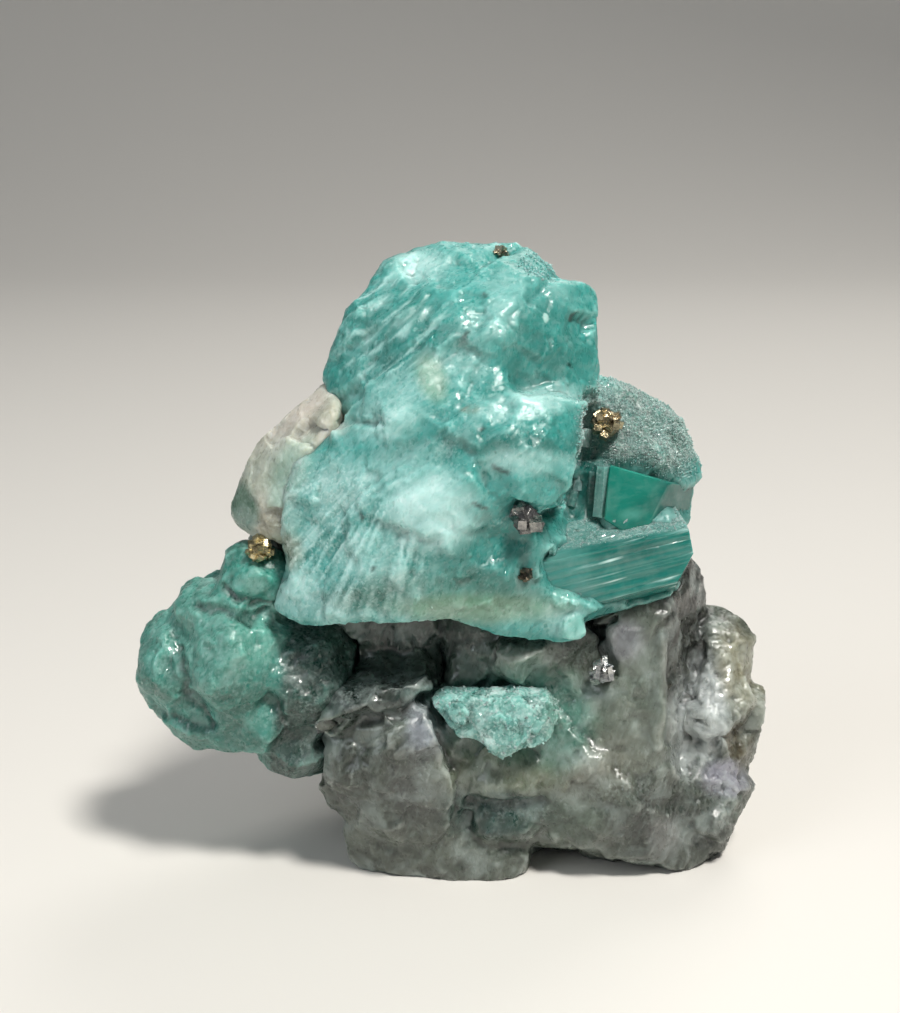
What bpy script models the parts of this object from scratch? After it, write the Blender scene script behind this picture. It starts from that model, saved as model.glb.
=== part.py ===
"""An emerald specimen: green beryl grown on smoky quartz, with a calcite rind and clusters of pyrite.

All lengths below are millimetres. +X is to the right as the specimen faces you.
-Y is its front and +Z is up.
The quartz stands on its own flat break at height 0.
"""

import math
import random

import bmesh
import bpy
from mathutils import Matrix, Vector, kdtree, noise

MM = 0.001

# Driving sizes of the whole specimen
GAP = 0.3
PYRITE_GAP = 0.48
BASE_HEIGHT = 0.0

# Crystal blocks of the crown: the corners (x, y, z) that each flat-faced block spans
CROWN_BLOCKS = {
    "heart": (
        (-9.5, -4.0, 44.0), (-11.0, 2.0, 30.0), (-8.0, 8.0, 32.0), (-7.0, 8.0, 47.0), (-3.0, 7.5, 54.0),
        (6.0, 8.0, 54.5), (10.5, 6.5, 52.0), (12.0, 6.0, 42.0), (12.0, 5.0, 28.0), (0.0, 9.0, 26.0),
        (-9.0, -6.0, 27.5), (8.0, -7.0, 26.5), (10.0, -4.0, 52.0), (-3.0, -5.0, 53.0),
    ),
    "upper wedge": (
        (-11.1, -4.5, 45.4), (-10.3, -4.5, 50.2), (-8.7, -3.5, 53.0), (-6.8, -2.0, 55.7),
        (-4.6, 0.0, 57.6),
        (-0.4, 1.0, 58.3), (3.0, 1.5, 58.2), (-9.5, 4.5, 46.0), (-7.5, 5.5, 52.0), (-1.0, 7.5, 55.5),
        (-6.2, -8.6, 46.0), (-8.6, -7.4, 44.4), (0.0, -8.8, 51.0), (1.5, -10.6, 46.5), (-4.2, -6.6, 53.2),
    ),
    "summit ridge": (
        (-1.0, 0.5, 58.3), (3.8, 0.5, 58.6), (8.6, -1.0, 57.3), (9.2, -2.8, 55.9), (4.6, -7.6, 54.6),
        (0.5, -8.8, 52.4), (-3.4, -7.2, 53.2), (-1.0, -6.0, 54.8), (0.0, 7.5, 55.0),
        (7.6, 7.0, 55.0), (9.6, 4.0, 54.4), (6.0, -8.4, 52.0),
    ),
    "right slab": (
        (8.8, -3.4, 55.8), (11.2, -2.4, 55.5), (12.5, -1.0, 54.2), (13.0, -2.6, 50.0), (13.3, -3.8, 45.0),
        (12.4, -6.4, 43.2), (4.0, -8.6, 54.2), (2.6, -9.8, 47.0), (8.6, -7.6, 50.6), (9.6, 6.0, 53.0),
        (12.2, 4.0, 52.0), (13.2, 4.0, 42.0), (9.0, -7.8, 45.0),
    ),
    "middle face": (
        (-7.8, -9.2, 45.0), (-3.4, -8.0, 51.6), (1.0, -9.4, 51.0), (4.6, -9.2, 52.4), (5.0, -11.4, 47.0),
        (1.0, -12.8, 43.6), (-4.6, -12.4, 43.4), (-6.0, -2.0, 45.0), (5.0, -2.0, 52.0), (4.0, -2.0, 44.0),
    ),
    "shoulder": (
        (3.2, -12.2, 46.6), (8.0, -12.0, 46.6), (11.8, -9.8, 45.6), (12.2, -11.2, 43.4),
        (11.2, -12.6, 40.8),
        (9.6, -12.8, 38.0), (6.8, -12.4, 35.9), (1.8, -13.4, 37.4), (1.0, -13.4, 44.4),
        (6.6, -14.8, 43.0),
        (6.2, -14.4, 38.6),
        (2.0, -4.0, 46.0), (11.4, -4.0, 45.0), (10.4, -5.0, 38.0), (3.0, -5.0, 36.0),
    ),
    "breast": (
        (-8.7, -9.2, 44.0), (-12.8, -8.8, 40.6), (-14.2, -8.6, 36.2), (-14.4, -9.4, 31.6),
        (-2.0, -12.2, 44.6),
        (2.4, -13.4, 43.0), (-4.4, -14.2, 38.8), (2.6, -14.6, 38.4), (-8.0, -13.2, 33.0),
        (1.6, -14.2, 32.0),
        (-12.0, -2.0, 42.0), (-13.0, -1.0, 32.0), (2.0, -3.0, 44.0), (2.0, -3.0, 32.0),
    ),
    "wing": (
        (-14.4, -9.0, 34.0), (-14.9, -10.0, 28.2), (-13.0, -11.6, 27.3), (-10.4, -13.4, 27.0),
        (-8.0, -13.6, 28.0),
        (-4.2, -14.0, 28.5), (0.6, -13.6, 28.2), (2.0, -13.4, 34.0), (-6.0, -14.4, 34.0),
        (-12.6, -4.0, 33.0),
        (-12.0, -5.5, 28.5), (0.0, -6.0, 28.0),
    ),
    "lower front": (
        (1.4, -13.6, 36.4), (7.0, -11.8, 35.4), (9.6, -11.2, 32.6), (10.6, -9.8, 25.2),
        (6.2, -10.8, 25.0),
        (0.0, -13.0, 27.4), (4.0, -13.0, 30.0), (10.0, -4.0, 36.0), (10.0, -4.0, 25.0), (0.0, -5.0, 27.0),
    ),
}

# The glassy broken crystal and the stubs beside the crown
FLANK_BLOCKS = {
    "glassy crystal": (
        (14.2, -4.8, 39.4), (19.6, -4.6, 37.8), (22.2, -1.4, 36.6), (21.6, -2.0, 32.6),
        (17.0, -7.0, 32.8),
        (13.8, -6.8, 35.0), (15.0, 5.0, 39.0), (21.0, 5.0, 36.0), (20.0, 4.0, 30.0), (13.0, 3.0, 30.0),
    ),
    "sugary knob": (
        (12.6, 0.0, 45.0), (14.6, 1.0, 45.2), (17.4, 2.0, 44.0), (20.0, 1.4, 42.6), (21.8, 0.4, 40.6),
        (22.9, -0.6, 38.2), (22.5, -1.2, 36.4), (14.6, -4.6, 41.2), (18.2, -5.4, 40.4),
        (20.8, -4.2, 38.8),
        (14.8, -5.2, 38.0), (20.8, -3.6, 36.4), (14.0, 6.0, 43.6), (19.0, 6.4, 41.6), (21.4, 5.0, 37.0),
        (14.0, 4.0, 35.0),
    ),
    "crevice filler": (
        (10.0, -3.6, 44.0), (14.0, -1.5, 44.5), (14.4, -3.0, 38.0), (11.4, -4.8, 38.0),
        (12.0, -5.6, 33.0),
        (9.0, -3.0, 30.0), (15.0, 4.0, 43.0), (14.0, 4.0, 30.0), (9.0, 4.0, 44.0),
    ),
}
# Rounded lumps as (x, y, z), (half width, half depth, half height)
FLANK_LUMPS = (
    ((17.4, 2.4, 38.8), (4.6, 6.0, 4.9)),
    ((14.6, 1.2, 43.2), (2.3, 3.2, 2.3)),
    ((20.0, 2.6, 35.8), (2.8, 4.0, 4.0)),
    ((11.4, -9.6, 28.6), (2.1, 2.0, 2.0)),
    ((10.2, -9.2, 25.8), (1.9, 1.8, 1.5)),
)
# The striated six-sided prism lies on its side, low on the flank
PRISM_TAIL = (7.6, -7.2, 29.0)
PRISM_TIP = (21.0, -3.6, 31.4)
PRISM_RADIUS = 4.5
PRISM_ROLL = 22.0
PRISM_BREAK = (0.86, -0.28, -0.42)
# Flat crystal faces that the broken skin leaves alone: centre and radius
QUARTZ_CALM = (((17.4, -8.0, 22.0), 4.0), ((17.0, -8.6, 16.0), 3.6))
MASS_CALM = (
    ((12.0, -9.0, 30.0), 3.4),
    ((16.0, -8.0, 30.6), 3.6),
    ((19.6, -6.0, 31.4), 3.2),
    ((17.4, -6.0, 36.2), 2.6),
    ((10.6, -8.0, 48.6), 3.4),
)

LOBE_LUMPS = (
    ((-17.6, -5.2, 28.8), (3.5, 3.4, 3.3)),
    ((-22.4, -3.4, 25.0), (3.0, 3.8, 2.8)),
    ((-20.2, -4.2, 25.2), (3.6, 5.0, 3.6)),
    ((-24.6, -2.6, 19.6), (4.1, 5.6, 5.6)),
    ((-23.0, -3.0, 15.6), (3.6, 5.0, 3.6)),
    ((-19.4, -6.2, 21.6), (4.8, 5.4, 5.4)),
    ((-18.0, -4.2, 15.8), (5.0, 5.6, 4.2)),
    ((-13.6, -4.6, 19.4), (5.0, 5.4, 6.2)),
    ((-14.0, -4.6, 12.6), (3.6, 4.2, 2.9)),
    ((-19.0, 1.0, 20.0), (6.5, 5.5, 8.0)),
)

NEST_BLOCKS = {
    "left tooth": (
        (-1.2, -9.6, 18.0), (1.6, -10.6, 19.2), (3.4, -11.2, 16.0), (1.0, -10.8, 15.2),
        (-0.8, -6.0, 17.0),
        (3.0, -6.0, 19.0), (3.0, -6.0, 15.0),
    ),
    "middle tooth": (
        (1.8, -10.2, 19.6), (6.4, -10.4, 19.8), (7.4, -11.4, 16.6), (5.6, -11.6, 13.6),
        (3.0, -11.4, 14.4),
        (2.0, -6.0, 18.0), (7.0, -6.0, 19.0), (5.0, -6.0, 14.0),
    ),
    "right tooth": (
        (6.2, -9.6, 19.8), (9.6, -9.2, 18.2), (8.8, -10.4, 15.0), (6.4, -11.2, 14.4), (6.0, -5.5, 18.0),
        (9.0, -5.5, 17.0), (7.0, -5.5, 14.5),
    ),
}

RIND_BLOCKS = {
    "blade": (
        (-11.0, -3.6, 46.6), (-13.4, -3.6, 44.6), (-16.0, -4.2, 41.8), (-17.9, -4.6, 39.2),
        (-19.1, -4.6, 36.6),
        (-19.6, -4.8, 34.8), (-18.6, -5.4, 33.2), (-16.6, -7.4, 33.0), (-13.6, -9.0, 34.0),
        (-9.0, -8.6, 44.2),
        (-14.6, -7.8, 41.0), (-11.0, -0.4, 45.0), (-17.0, -0.6, 38.5), (-18.0, -1.0, 33.8),
        (-12.0, -1.0, 33.0),
    ),
}

QUARTZ_BLOCKS = {
    "rib": (
        (20.6, -1.0, 30.8), (22.4, 1.4, 30.4), (24.2, 1.8, 26.4), (23.8, 1.4, 19.0), (21.0, -3.6, 12.4),
        (19.0, -5.0, 29.0), (20.0, -7.0, 25.4), (14.8, -7.8, 24.2), (13.8, -8.9, 13.0),
        (19.2, -8.9, 13.0),
        (14.0, 4.0, 30.0), (24.0, 8.0, 16.0), (12.0, 4.0, 12.0),
    ),
    "ledge": (
        (-14.8, -7.0, 17.4), (-10.0, -10.0, 19.2), (-4.0, -10.4, 20.6), (-1.6, -9.4, 20.4),
        (-3.0, -10.6, 18.6),
        (-10.6, -10.6, 16.6), (-14.6, -7.8, 14.8), (-13.0, 0.0, 20.0), (-2.0, 0.0, 21.5),
        (-12.0, 0.0, 14.0),
        (-2.0, 0.0, 14.0),
    ),
    "left cheek": (
        (-13.0, -6.4, 15.0), (-12.2, -6.0, 10.0), (-10.2, -7.2, 7.2), (-6.8, -8.2, 4.8),
        (-1.8, -8.0, 4.0),
        (-2.4, -11.6, 16.8), (-7.0, -10.8, 11.0), (0.0, -11.0, 10.8), (-0.4, -9.6, 6.0),
        (-5.0, -10.2, 17.6),
        (-12.0, 4.0, 14.0), (-9.0, 4.0, 4.0), (2.0, 4.0, 2.0), (0.0, 0.0, 18.0),
    ),
    "left backing": (
        (-17.4, -1.0, 35.0), (-16.8, -3.4, 31.5), (-17.6, -2.0, 28.0), (-18.6, 0.0, 21.0),
        (-14.0, -2.0, 12.0),
        (-12.0, -3.0, 36.5), (-9.0, -6.2, 29.0), (-9.0, -5.6, 20.0), (-14.0, 7.0, 36.0),
        (-17.0, 8.0, 22.0),
        (-12.0, 9.0, 12.0), (-5.0, 10.0, 38.0), (-2.0, -4.4, 28.0), (-2.0, -4.4, 20.0), (0.0, 10.0, 20.0),
    ),
    "middle": (
        (0.0, -5.0, 25.4), (12.0, -6.6, 25.4), (14.0, -8.4, 16.0), (13.0, -9.2, 8.0), (4.0, -9.2, 8.0),
        (0.0, -8.0, 13.0), (3.0, -8.2, 4.6), (12.0, -8.2, 4.4), (0.0, 8.0, 26.0), (14.0, 8.0, 26.0),
        (16.0, 6.0, 0.0), (-2.0, 6.0, 0.0),
    ),
    "belly": (
        (10.0, -9.2, 15.4), (18.0, -8.8, 14.6), (21.4, -7.6, 10.0), (18.0, -8.8, 4.6), (11.0, -8.8, 5.0),
        (10.0, 0.0, 15.0), (20.0, 0.0, 15.0), (20.0, 0.0, 4.0), (10.0, 0.0, 4.0),
    ),
    "foot": (
        (6.0, -7.2, 4.2), (15.4, -8.0, 3.4), (19.0, -7.4, 1.5), (21.6, -6.4, 0.2), (23.4, -4.4, -0.6),
        (26.0, -2.6, 1.8), (16.0, -8.8, 9.0), (25.0, -5.4, 9.0), (24.0, 7.0, -1.0), (9.0, 3.0, -1.0),
        (27.0, 4.0, 6.0),
    ),
    "left foot": (
        (-8.0, -5.4, -1.0), (-2.0, -7.8, -1.0), (5.0, -7.6, -1.0), (8.0, -6.8, 3.5), (9.0, 2.0, -1.0),
        (-8.6, 4.0, -1.0),
        (-9.6, -5.8, 5.5), (-2.0, -8.4, 4.5), (3.0, -8.0, 4.0), (-10.2, 3.0, 6.0), (6.0, 3.0, 6.0),
    ),
    "hidden back": (
        (-13.0, 3.0, 22.0), (-8.0, 12.0, 24.0), (2.0, 16.5, 22.0), (14.0, 15.5, 24.0), (21.0, 9.0, 22.0),
        (-10.0, 9.0, 8.0), (4.0, 15.0, 6.0), (18.0, 13.0, 5.0), (2.0, 10.0, 36.0), (12.0, 9.0, 36.0),
        (0.0, 0.0, 20.0), (14.0, 0.0, 20.0),
    ),
}
QUARTZ_LUMPS = (
    ((24.8, 2.0, 12.6), (4.9, 7.2, 8.6)),
    ((25.4, 2.4, 18.6), (3.5, 5.4, 4.2)),
    ((22.4, -0.4, 6.4), (6.2, 6.2, 6.4)),
    ((-6.4, -3.0, 11.2), (6.4, 7.6, 7.2)),
    ((6.6, -6.8, 21.8), (3.6, 2.6, 2.1)),
    ((5.0, 10.0, 14.0), (16.0, 8.6, 15.0)),
    ((6.0, 9.0, 29.0), (9.0, 6.5, 10.0)),
    ((-8.0, 7.0, 16.0), (8.0, 7.0, 9.5)),
    ((9.0, 7.4, 3.5), (15.0, 9.0, 7.0)),
)

# Hollows pressed into the broken skin: centre, half sizes and depth
QUARTZ_PITS = (
    ((28.4, -3.2, 12.6), (2.4, 4.0, 2.6), 1.5),
    ((4.6, -9.0, 7.2), (5.2, 3.0, 1.9), 1.1),
    ((23.0, -3.2, 19.0), (1.7, 3.4, 4.0), 1.4),
    ((13.4, -7.6, 20.6), (2.2, 3.0, 2.0), 1.1),
    ((17.6, -8.6, 6.0), (1.6, 2.4, 1.4), 0.8),
)
MASS_PITS = (
    ((12.6, -6.4, 37.2), (1.5, 3.4, 4.6), 1.6),
    ((3.6, -13.6, 34.6), (3.4, 2.4, 1.5), 0.7),
)

# Pyrite clusters: centre, the radius over which the cubes lie, the largest cube's side, and how many cubes
PYRITE = {
    "pyrite_left": ((-17.0, -7.4, 32.4), 0.75, 1.3, 5),
    "pyrite_right": ((14.2, -4.0, 43.2), 0.95, 1.4, 6),
    "pyrite_front": ((6.4, -13.4, 36.8), 0.45, 1.6, 4),
    "pyrite_hollow": ((13.6, -8.0, 20.8), 0.95, 1.2, 5),
    "pyrite_summit": ((4.5, -0.6, 57.9), 0.3, 0.8, 2),
    "pyrite_speck": ((6.6, -12.4, 31.4), 0.25, 0.8, 2),
}

VOXEL = 0.55
NODE_FACES = {
    "emerald_mass": 3000,
    "emerald_lobe": 950,
    "emerald_nest": 260,
    "calcite_rind": 260,
    "quartz_matrix": 2300,
}

SKINS = {
    "emerald": ((0.16, 0.46, 0.38, 1.0), 0.28, 0.0),
    "calcite": ((0.62, 0.60, 0.53, 1.0), 0.62, 0.0),
    "quartz": ((0.28, 0.28, 0.27, 1.0), 0.42, 0.0),
    "pyrite": ((0.58, 0.46, 0.26, 1.0), 0.30, 1.0),
}


def clear_scene():
    for obj in list(bpy.data.objects):
        bpy.data.objects.remove(obj)


def new_collection(name):
    collection = bpy.data.collections.new(name)
    bpy.context.scene.collection.children.link(collection)
    return collection


def skin(name):
    """The mineral's material, made once."""
    material = bpy.data.materials.get(name)
    if material:
        return material
    colour, roughness, metallic = SKINS[name]
    material = bpy.data.materials.new(name)
    material.use_nodes = True
    shader = material.node_tree.nodes["Principled BSDF"]
    shader.inputs["Base Color"].default_value = colour
    shader.inputs["Roughness"].default_value = roughness
    shader.inputs["Metallic"].default_value = metallic
    return material


def unit_direction(draw):
    return Vector((draw.gauss(0, 1), draw.gauss(0, 1), draw.gauss(0, 1))).normalized()


def block(corners):
    """A flat-faced crystal block: the convex hull of its corners."""
    bm = bmesh.new()
    for corner in corners:
        bm.verts.new(corner)
    made = bmesh.ops.convex_hull(bm, input=bm.verts[:])
    inside = [v for v in made["geom_interior"] + made["geom_unused"] if isinstance(v, bmesh.types.BMVert)]
    bmesh.ops.delete(bm, geom=list(set(inside)), context="VERTS")
    return bm


def break_off(bm, point, outward):
    """Knocks off everything beyond a flat break."""
    geometry = bm.verts[:] + bm.edges[:] + bm.faces[:]
    bmesh.ops.bisect_plane(bm, geom=geometry, dist=1e-6, plane_co=point, plane_no=outward, clear_outer=True)
    bmesh.ops.holes_fill(bm, edges=bm.edges[:])


def lump(centre, radii, draw, chips=7, nearest=0.80, furthest=0.95):
    """A rounded lump with a few flat chips knocked off it."""
    bm = bmesh.new()
    bmesh.ops.create_icosphere(bm, subdivisions=3, radius=1.0)
    for _ in range(chips):
        outward = unit_direction(draw)
        break_off(bm, outward * draw.uniform(nearest, furthest), outward)
    bmesh.ops.scale(bm, vec=radii, verts=bm.verts)
    bmesh.ops.translate(bm, vec=centre, verts=bm.verts)
    return bm


def prism():
    """The striated six-sided prism, with a slanting break at its tip."""
    tail, tip = Vector(PRISM_TAIL), Vector(PRISM_TIP)
    along = tip - tail
    bm = bmesh.new()
    bmesh.ops.create_cone(
        bm, cap_ends=True, segments=6, radius1=PRISM_RADIUS, radius2=PRISM_RADIUS * 0.92, depth=along.length
    )
    bmesh.ops.rotate(bm, verts=bm.verts, matrix=Matrix.Rotation(math.radians(PRISM_ROLL), 3, "Z"))
    bmesh.ops.rotate(bm, verts=bm.verts, matrix=along.to_track_quat("Z", "Y").to_matrix())
    bmesh.ops.translate(bm, vec=(tail + tip) / 2, verts=bm.verts)
    outward = Vector(PRISM_BREAK).normalized()
    break_off(bm, tip + outward * PRISM_RADIUS * 0.30, outward)
    return bm


def joined(shapes):
    """Several shapes in one bmesh, still separate shells."""
    whole = bmesh.new()
    for bm in shapes:
        mesh = bpy.data.meshes.new("shape")
        bm.to_mesh(mesh)
        bm.free()
        whole.from_mesh(mesh)
        bpy.data.meshes.remove(mesh)
    return whole


def evaluated_copy(obj):
    """The object's mesh with its modifiers applied."""
    graph = bpy.context.evaluated_depsgraph_get()
    return bpy.data.meshes.new_from_object(obj.evaluated_get(graph))


def apply_modifiers(obj):
    mesh = evaluated_copy(obj)
    old = obj.data
    obj.modifiers.clear()
    obj.data = mesh
    bpy.data.meshes.remove(old)


def roughness_at(spot, calm):
    """How far the broken skin is roughened here: little on the flat crystal faces."""
    keep = 1.0
    for centre, radius in calm:
        keep = min(keep, max(0.12, (spot - Vector(centre)).length / radius - 0.5))
    return keep


def facet(mesh, size, tilt, strength, seed, calm):
    """Presses the surface into flat facets about this size, each tilted a little at random."""
    draw = random.Random(seed)
    bm = bmesh.new()
    bm.from_mesh(mesh)
    bm.normal_update()
    area = sum(face.calc_area() for face in bm.faces)
    count = max(8, int(area / (size * size)))
    picked = draw.sample(range(len(bm.verts)), min(count, len(bm.verts)))
    bm.verts.ensure_lookup_table()
    tree = kdtree.KDTree(len(picked))
    planes = []
    for index, vertex in enumerate(picked):
        spot = bm.verts[vertex]
        tree.insert(spot.co, index)
        planes.append((spot.co.copy(), (spot.normal + unit_direction(draw) * tilt).normalized()))
    tree.balance()
    for vertex in bm.verts:
        _, index, _ = tree.find(vertex.co)
        point, normal = planes[index]
        reach = strength * roughness_at(vertex.co, calm)
        vertex.co -= normal * ((vertex.co - point).dot(normal) * reach)
    bm.to_mesh(mesh)
    bm.free()


def roughen(mesh, size, height, calm):
    """Waves the surface in and out with smooth noise of this size and height."""
    bm = bmesh.new()
    bm.from_mesh(mesh)
    bm.normal_update()
    moves = [noise.fractal(v.co / size, 0.6, 2.0, 3) * height * roughness_at(v.co, calm) for v in bm.verts]
    for vertex, move in zip(bm.verts, moves):
        vertex.co += vertex.normal * move
    bm.to_mesh(mesh)
    bm.free()


def voxel_skin(obj):
    """Replaces overlapping shells by one even skin round them all."""
    remesh = obj.modifiers.new("grown together", "REMESH")
    remesh.mode = "VOXEL"
    remesh.voxel_size = VOXEL
    apply_modifiers(obj)


def press_pits(mesh, pits):
    """Presses rounded hollows into the surface."""
    bm = bmesh.new()
    bm.from_mesh(mesh)
    bm.normal_update()
    for centre, radii, depth in pits:
        for vertex in bm.verts:
            out = vertex.co - Vector(centre)
            reach = Vector((out.x / radii[0], out.y / radii[1], out.z / radii[2])).length
            if reach < 1.0:
                vertex.co -= vertex.normal * depth * (1.0 - reach * reach)
    bm.to_mesh(mesh)
    bm.free()


def fuse(name, shapes, faces, facet_size, facet_strength, wave, seed, calm=(), pits=()):
    """Grows overlapping shapes into one solid with a broken, faceted skin."""
    mesh = bpy.data.meshes.new(name)
    whole = joined(shapes)
    whole.to_mesh(mesh)
    whole.free()
    obj = bpy.data.objects.new(name, mesh)
    SPECIMEN.objects.link(obj)
    voxel_skin(obj)
    press_pits(obj.data, pits)
    roughen(obj.data, wave[0], wave[1], calm)
    facet(obj.data, facet_size, 0.18, facet_strength, seed, calm)
    voxel_skin(obj)
    obj.data.calc_loop_triangles()
    thin = obj.modifiers.new("fewer faces", "DECIMATE")
    thin.ratio = faces / len(obj.data.loop_triangles)
    thin.use_collapse_triangulate = True
    apply_modifiers(obj)
    return obj


def socket_for(obj):
    """A hidden copy of a crystal, grown by the gap that its neighbours keep to it."""
    copy = bpy.data.objects.new("socket_for_" + obj.name, obj.data.copy())
    CUTTERS.objects.link(copy)
    copy.hide_render = True
    copy.display_type = "WIRE"
    grow = copy.modifiers.new("gap", "DISPLACE")
    grow.strength = GAP
    grow.mid_level = 0.0
    return copy


def round_socket_for(obj):
    """The convex hull of a pyrite knot, grown by the gap."""
    middle = sum((v.co for v in obj.data.vertices), Vector()) / len(obj.data.vertices)
    hull = block([v.co + (v.co - middle).normalized() * PYRITE_GAP for v in obj.data.vertices])
    mesh = bpy.data.meshes.new("socket_for_" + obj.name)
    hull.to_mesh(mesh)
    hull.free()
    socket = bpy.data.objects.new(mesh.name, mesh)
    CUTTERS.objects.link(socket)
    socket.hide_render = True
    socket.display_type = "WIRE"
    return socket


def cut_by(obj, socket):
    cut = obj.modifiers.new("socket", "BOOLEAN")
    cut.operation = "DIFFERENCE"
    cut.use_self = True
    cut.object = socket
    apply_modifiers(obj)


def keep_largest_body(obj):
    """Drops the loose chips that a cut leaves."""
    bm = bmesh.new()
    bm.from_mesh(obj.data)
    seen, bodies = set(), []
    for start in bm.verts:
        if start in seen:
            continue
        body, queue = [], [start]
        seen.add(start)
        while queue:
            vertex = queue.pop()
            body.append(vertex)
            for edge in vertex.link_edges:
                other = edge.other_vert(vertex)
                if other not in seen:
                    seen.add(other)
                    queue.append(other)
        bodies.append(body)
    bodies.sort(key=len)
    for body in bodies[:-1]:
        bmesh.ops.delete(bm, geom=body, context="VERTS")
    bm.to_mesh(obj.data)
    bm.free()


def pyrite_cluster(name, centre, spread, side, count):
    """A knot of small cubes grown through each other."""
    draw = random.Random(name)
    cubes = []
    for index in range(count):
        bm = bmesh.new()
        bmesh.ops.create_cube(bm, size=side * (1.0 if index == 0 else draw.uniform(0.55, 0.9)))
        turn = Matrix.Rotation(draw.uniform(0, math.pi), 3, unit_direction(draw))
        bmesh.ops.rotate(bm, verts=bm.verts, matrix=turn)
        offset = unit_direction(draw) * spread * (0.0 if index == 0 else draw.uniform(0.7, 1.0))
        bmesh.ops.translate(bm, vec=Vector(centre) + offset, verts=bm.verts)
        mesh = bpy.data.meshes.new(name)
        bm.to_mesh(mesh)
        bm.free()
        cubes.append(bpy.data.objects.new(name, mesh))
    first = cubes[0]
    SPECIMEN.objects.link(first)
    for other in cubes[1:]:
        CUTTERS.objects.link(other)
        join = first.modifiers.new("grown through", "BOOLEAN")
        join.operation = "UNION"
        join.object = other
        apply_modifiers(first)
        bpy.data.objects.remove(other)
    return first


def make_emerald_mass():
    draw = random.Random(11)
    shapes = [block(corners) for corners in CROWN_BLOCKS.values()]
    shapes += [block(corners) for corners in FLANK_BLOCKS.values()]
    shapes += [lump(centre, radii, draw) for centre, radii in FLANK_LUMPS]
    shapes.append(prism())
    faces = NODE_FACES["emerald_mass"]
    return fuse("emerald_mass", shapes, faces, 3.0, 0.4, (5.0, 0.3), 21, MASS_CALM, MASS_PITS)


def make_emerald_lobe():
    draw = random.Random(12)
    shapes = [lump(centre, radii, draw, 5) for centre, radii in LOBE_LUMPS]
    return fuse("emerald_lobe", shapes, NODE_FACES["emerald_lobe"], 2.2, 0.4, (3.0, 0.4), 22)


def make_emerald_nest():
    shapes = [block(corners) for corners in NEST_BLOCKS.values()]
    return fuse("emerald_nest", shapes, NODE_FACES["emerald_nest"], 1.6, 0.4, (2.0, 0.2), 23)


def make_calcite_rind():
    shapes = [block(corners) for corners in RIND_BLOCKS.values()]
    return fuse("calcite_rind", shapes, NODE_FACES["calcite_rind"], 4.0, 0.2, (5.0, 0.2), 24)


def make_quartz_matrix():
    draw = random.Random(14)
    shapes = [block(corners) for corners in QUARTZ_BLOCKS.values()]
    shapes += [lump(centre, radii, draw) for centre, radii in QUARTZ_LUMPS]
    faces = NODE_FACES["quartz_matrix"]
    return fuse("quartz_matrix", shapes, faces, 3.6, 0.45, (6.0, 0.5), 25, QUARTZ_CALM, QUARTZ_PITS)


def stand_on_break(obj):
    """Breaks the quartz off flat underneath, so that it stands."""
    bm = bmesh.new()
    bm.from_mesh(obj.data)
    break_off(bm, Vector((0, 0, BASE_HEIGHT)), Vector((0, 0, -1)))
    bmesh.ops.recalc_face_normals(bm, faces=bm.faces)
    bm.to_mesh(obj.data)
    bm.free()


def specimen_bounds():
    low, high = Vector((1e9,) * 3), Vector((-1e9,) * 3)
    for obj in SPECIMEN.objects:
        for vertex in obj.data.vertices:
            low = Vector(map(min, low, vertex.co))
            high = Vector(map(max, high, vertex.co))
    return low, high


def set_in_place(low, high):
    """Centres the specimen over the origin and turns millimetres into metres."""
    centre = Vector(((low.x + high.x) / 2, (low.y + high.y) / 2, BASE_HEIGHT))
    place = Matrix.Scale(MM, 4) @ Matrix.Translation(-centre)
    for obj in list(SPECIMEN.objects):
        obj.data.transform(place)
    for obj in list(CUTTERS.objects):
        bpy.data.objects.remove(obj)


def main():
    mass, lobe, nest = make_emerald_mass(), make_emerald_lobe(), make_emerald_nest()
    rind, quartz = make_calcite_rind(), make_quartz_matrix()
    clusters = [pyrite_cluster(name, *facts) for name, facts in PYRITE.items()]
    for cluster in clusters:
        socket = round_socket_for(cluster)
        for host in (mass, lobe, rind, quartz):
            cut_by(host, socket)
    hosts_of = ((mass, (rind, lobe, quartz)), (rind, (lobe, quartz)), (lobe, (quartz,)),
    (nest, (quartz,)))
    for crystal, hosts in hosts_of:
        socket = socket_for(crystal)
        for host in hosts:
            cut_by(host, socket)
    stand_on_break(quartz)
    for obj in (mass, lobe, nest, rind, quartz):
        keep_largest_body(obj)
    for obj in (mass, lobe, nest, rind, quartz):
        obj.data.materials.clear()
        obj.data.materials.append(skin(obj.name.split("_")[0]))
    for cluster in clusters:
        cluster.data.materials.clear()
        cluster.data.materials.append(skin("pyrite"))
    set_in_place(*specimen_bounds())


clear_scene()
SPECIMEN = new_collection("emerald_specimen")
CUTTERS = new_collection("cutters")
CUTTERS.hide_render = True
main()
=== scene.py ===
"""The looks of the emerald specimen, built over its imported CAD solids.

Work on a surface is done in millimetres, in a frame whose middle is a little off the CAD's (see MIDDLE).
Marks are placed by where they are seen from the front, in a view 900 units wide and 1013 high: u runs right
and v runs down, and a millimetre is about 10.7 units.
"""

import itertools
import math

import bmesh
import bpy
import numpy as np
from mathutils import Matrix, Vector, kdtree
from mathutils.bvhtree import BVHTree


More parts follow.
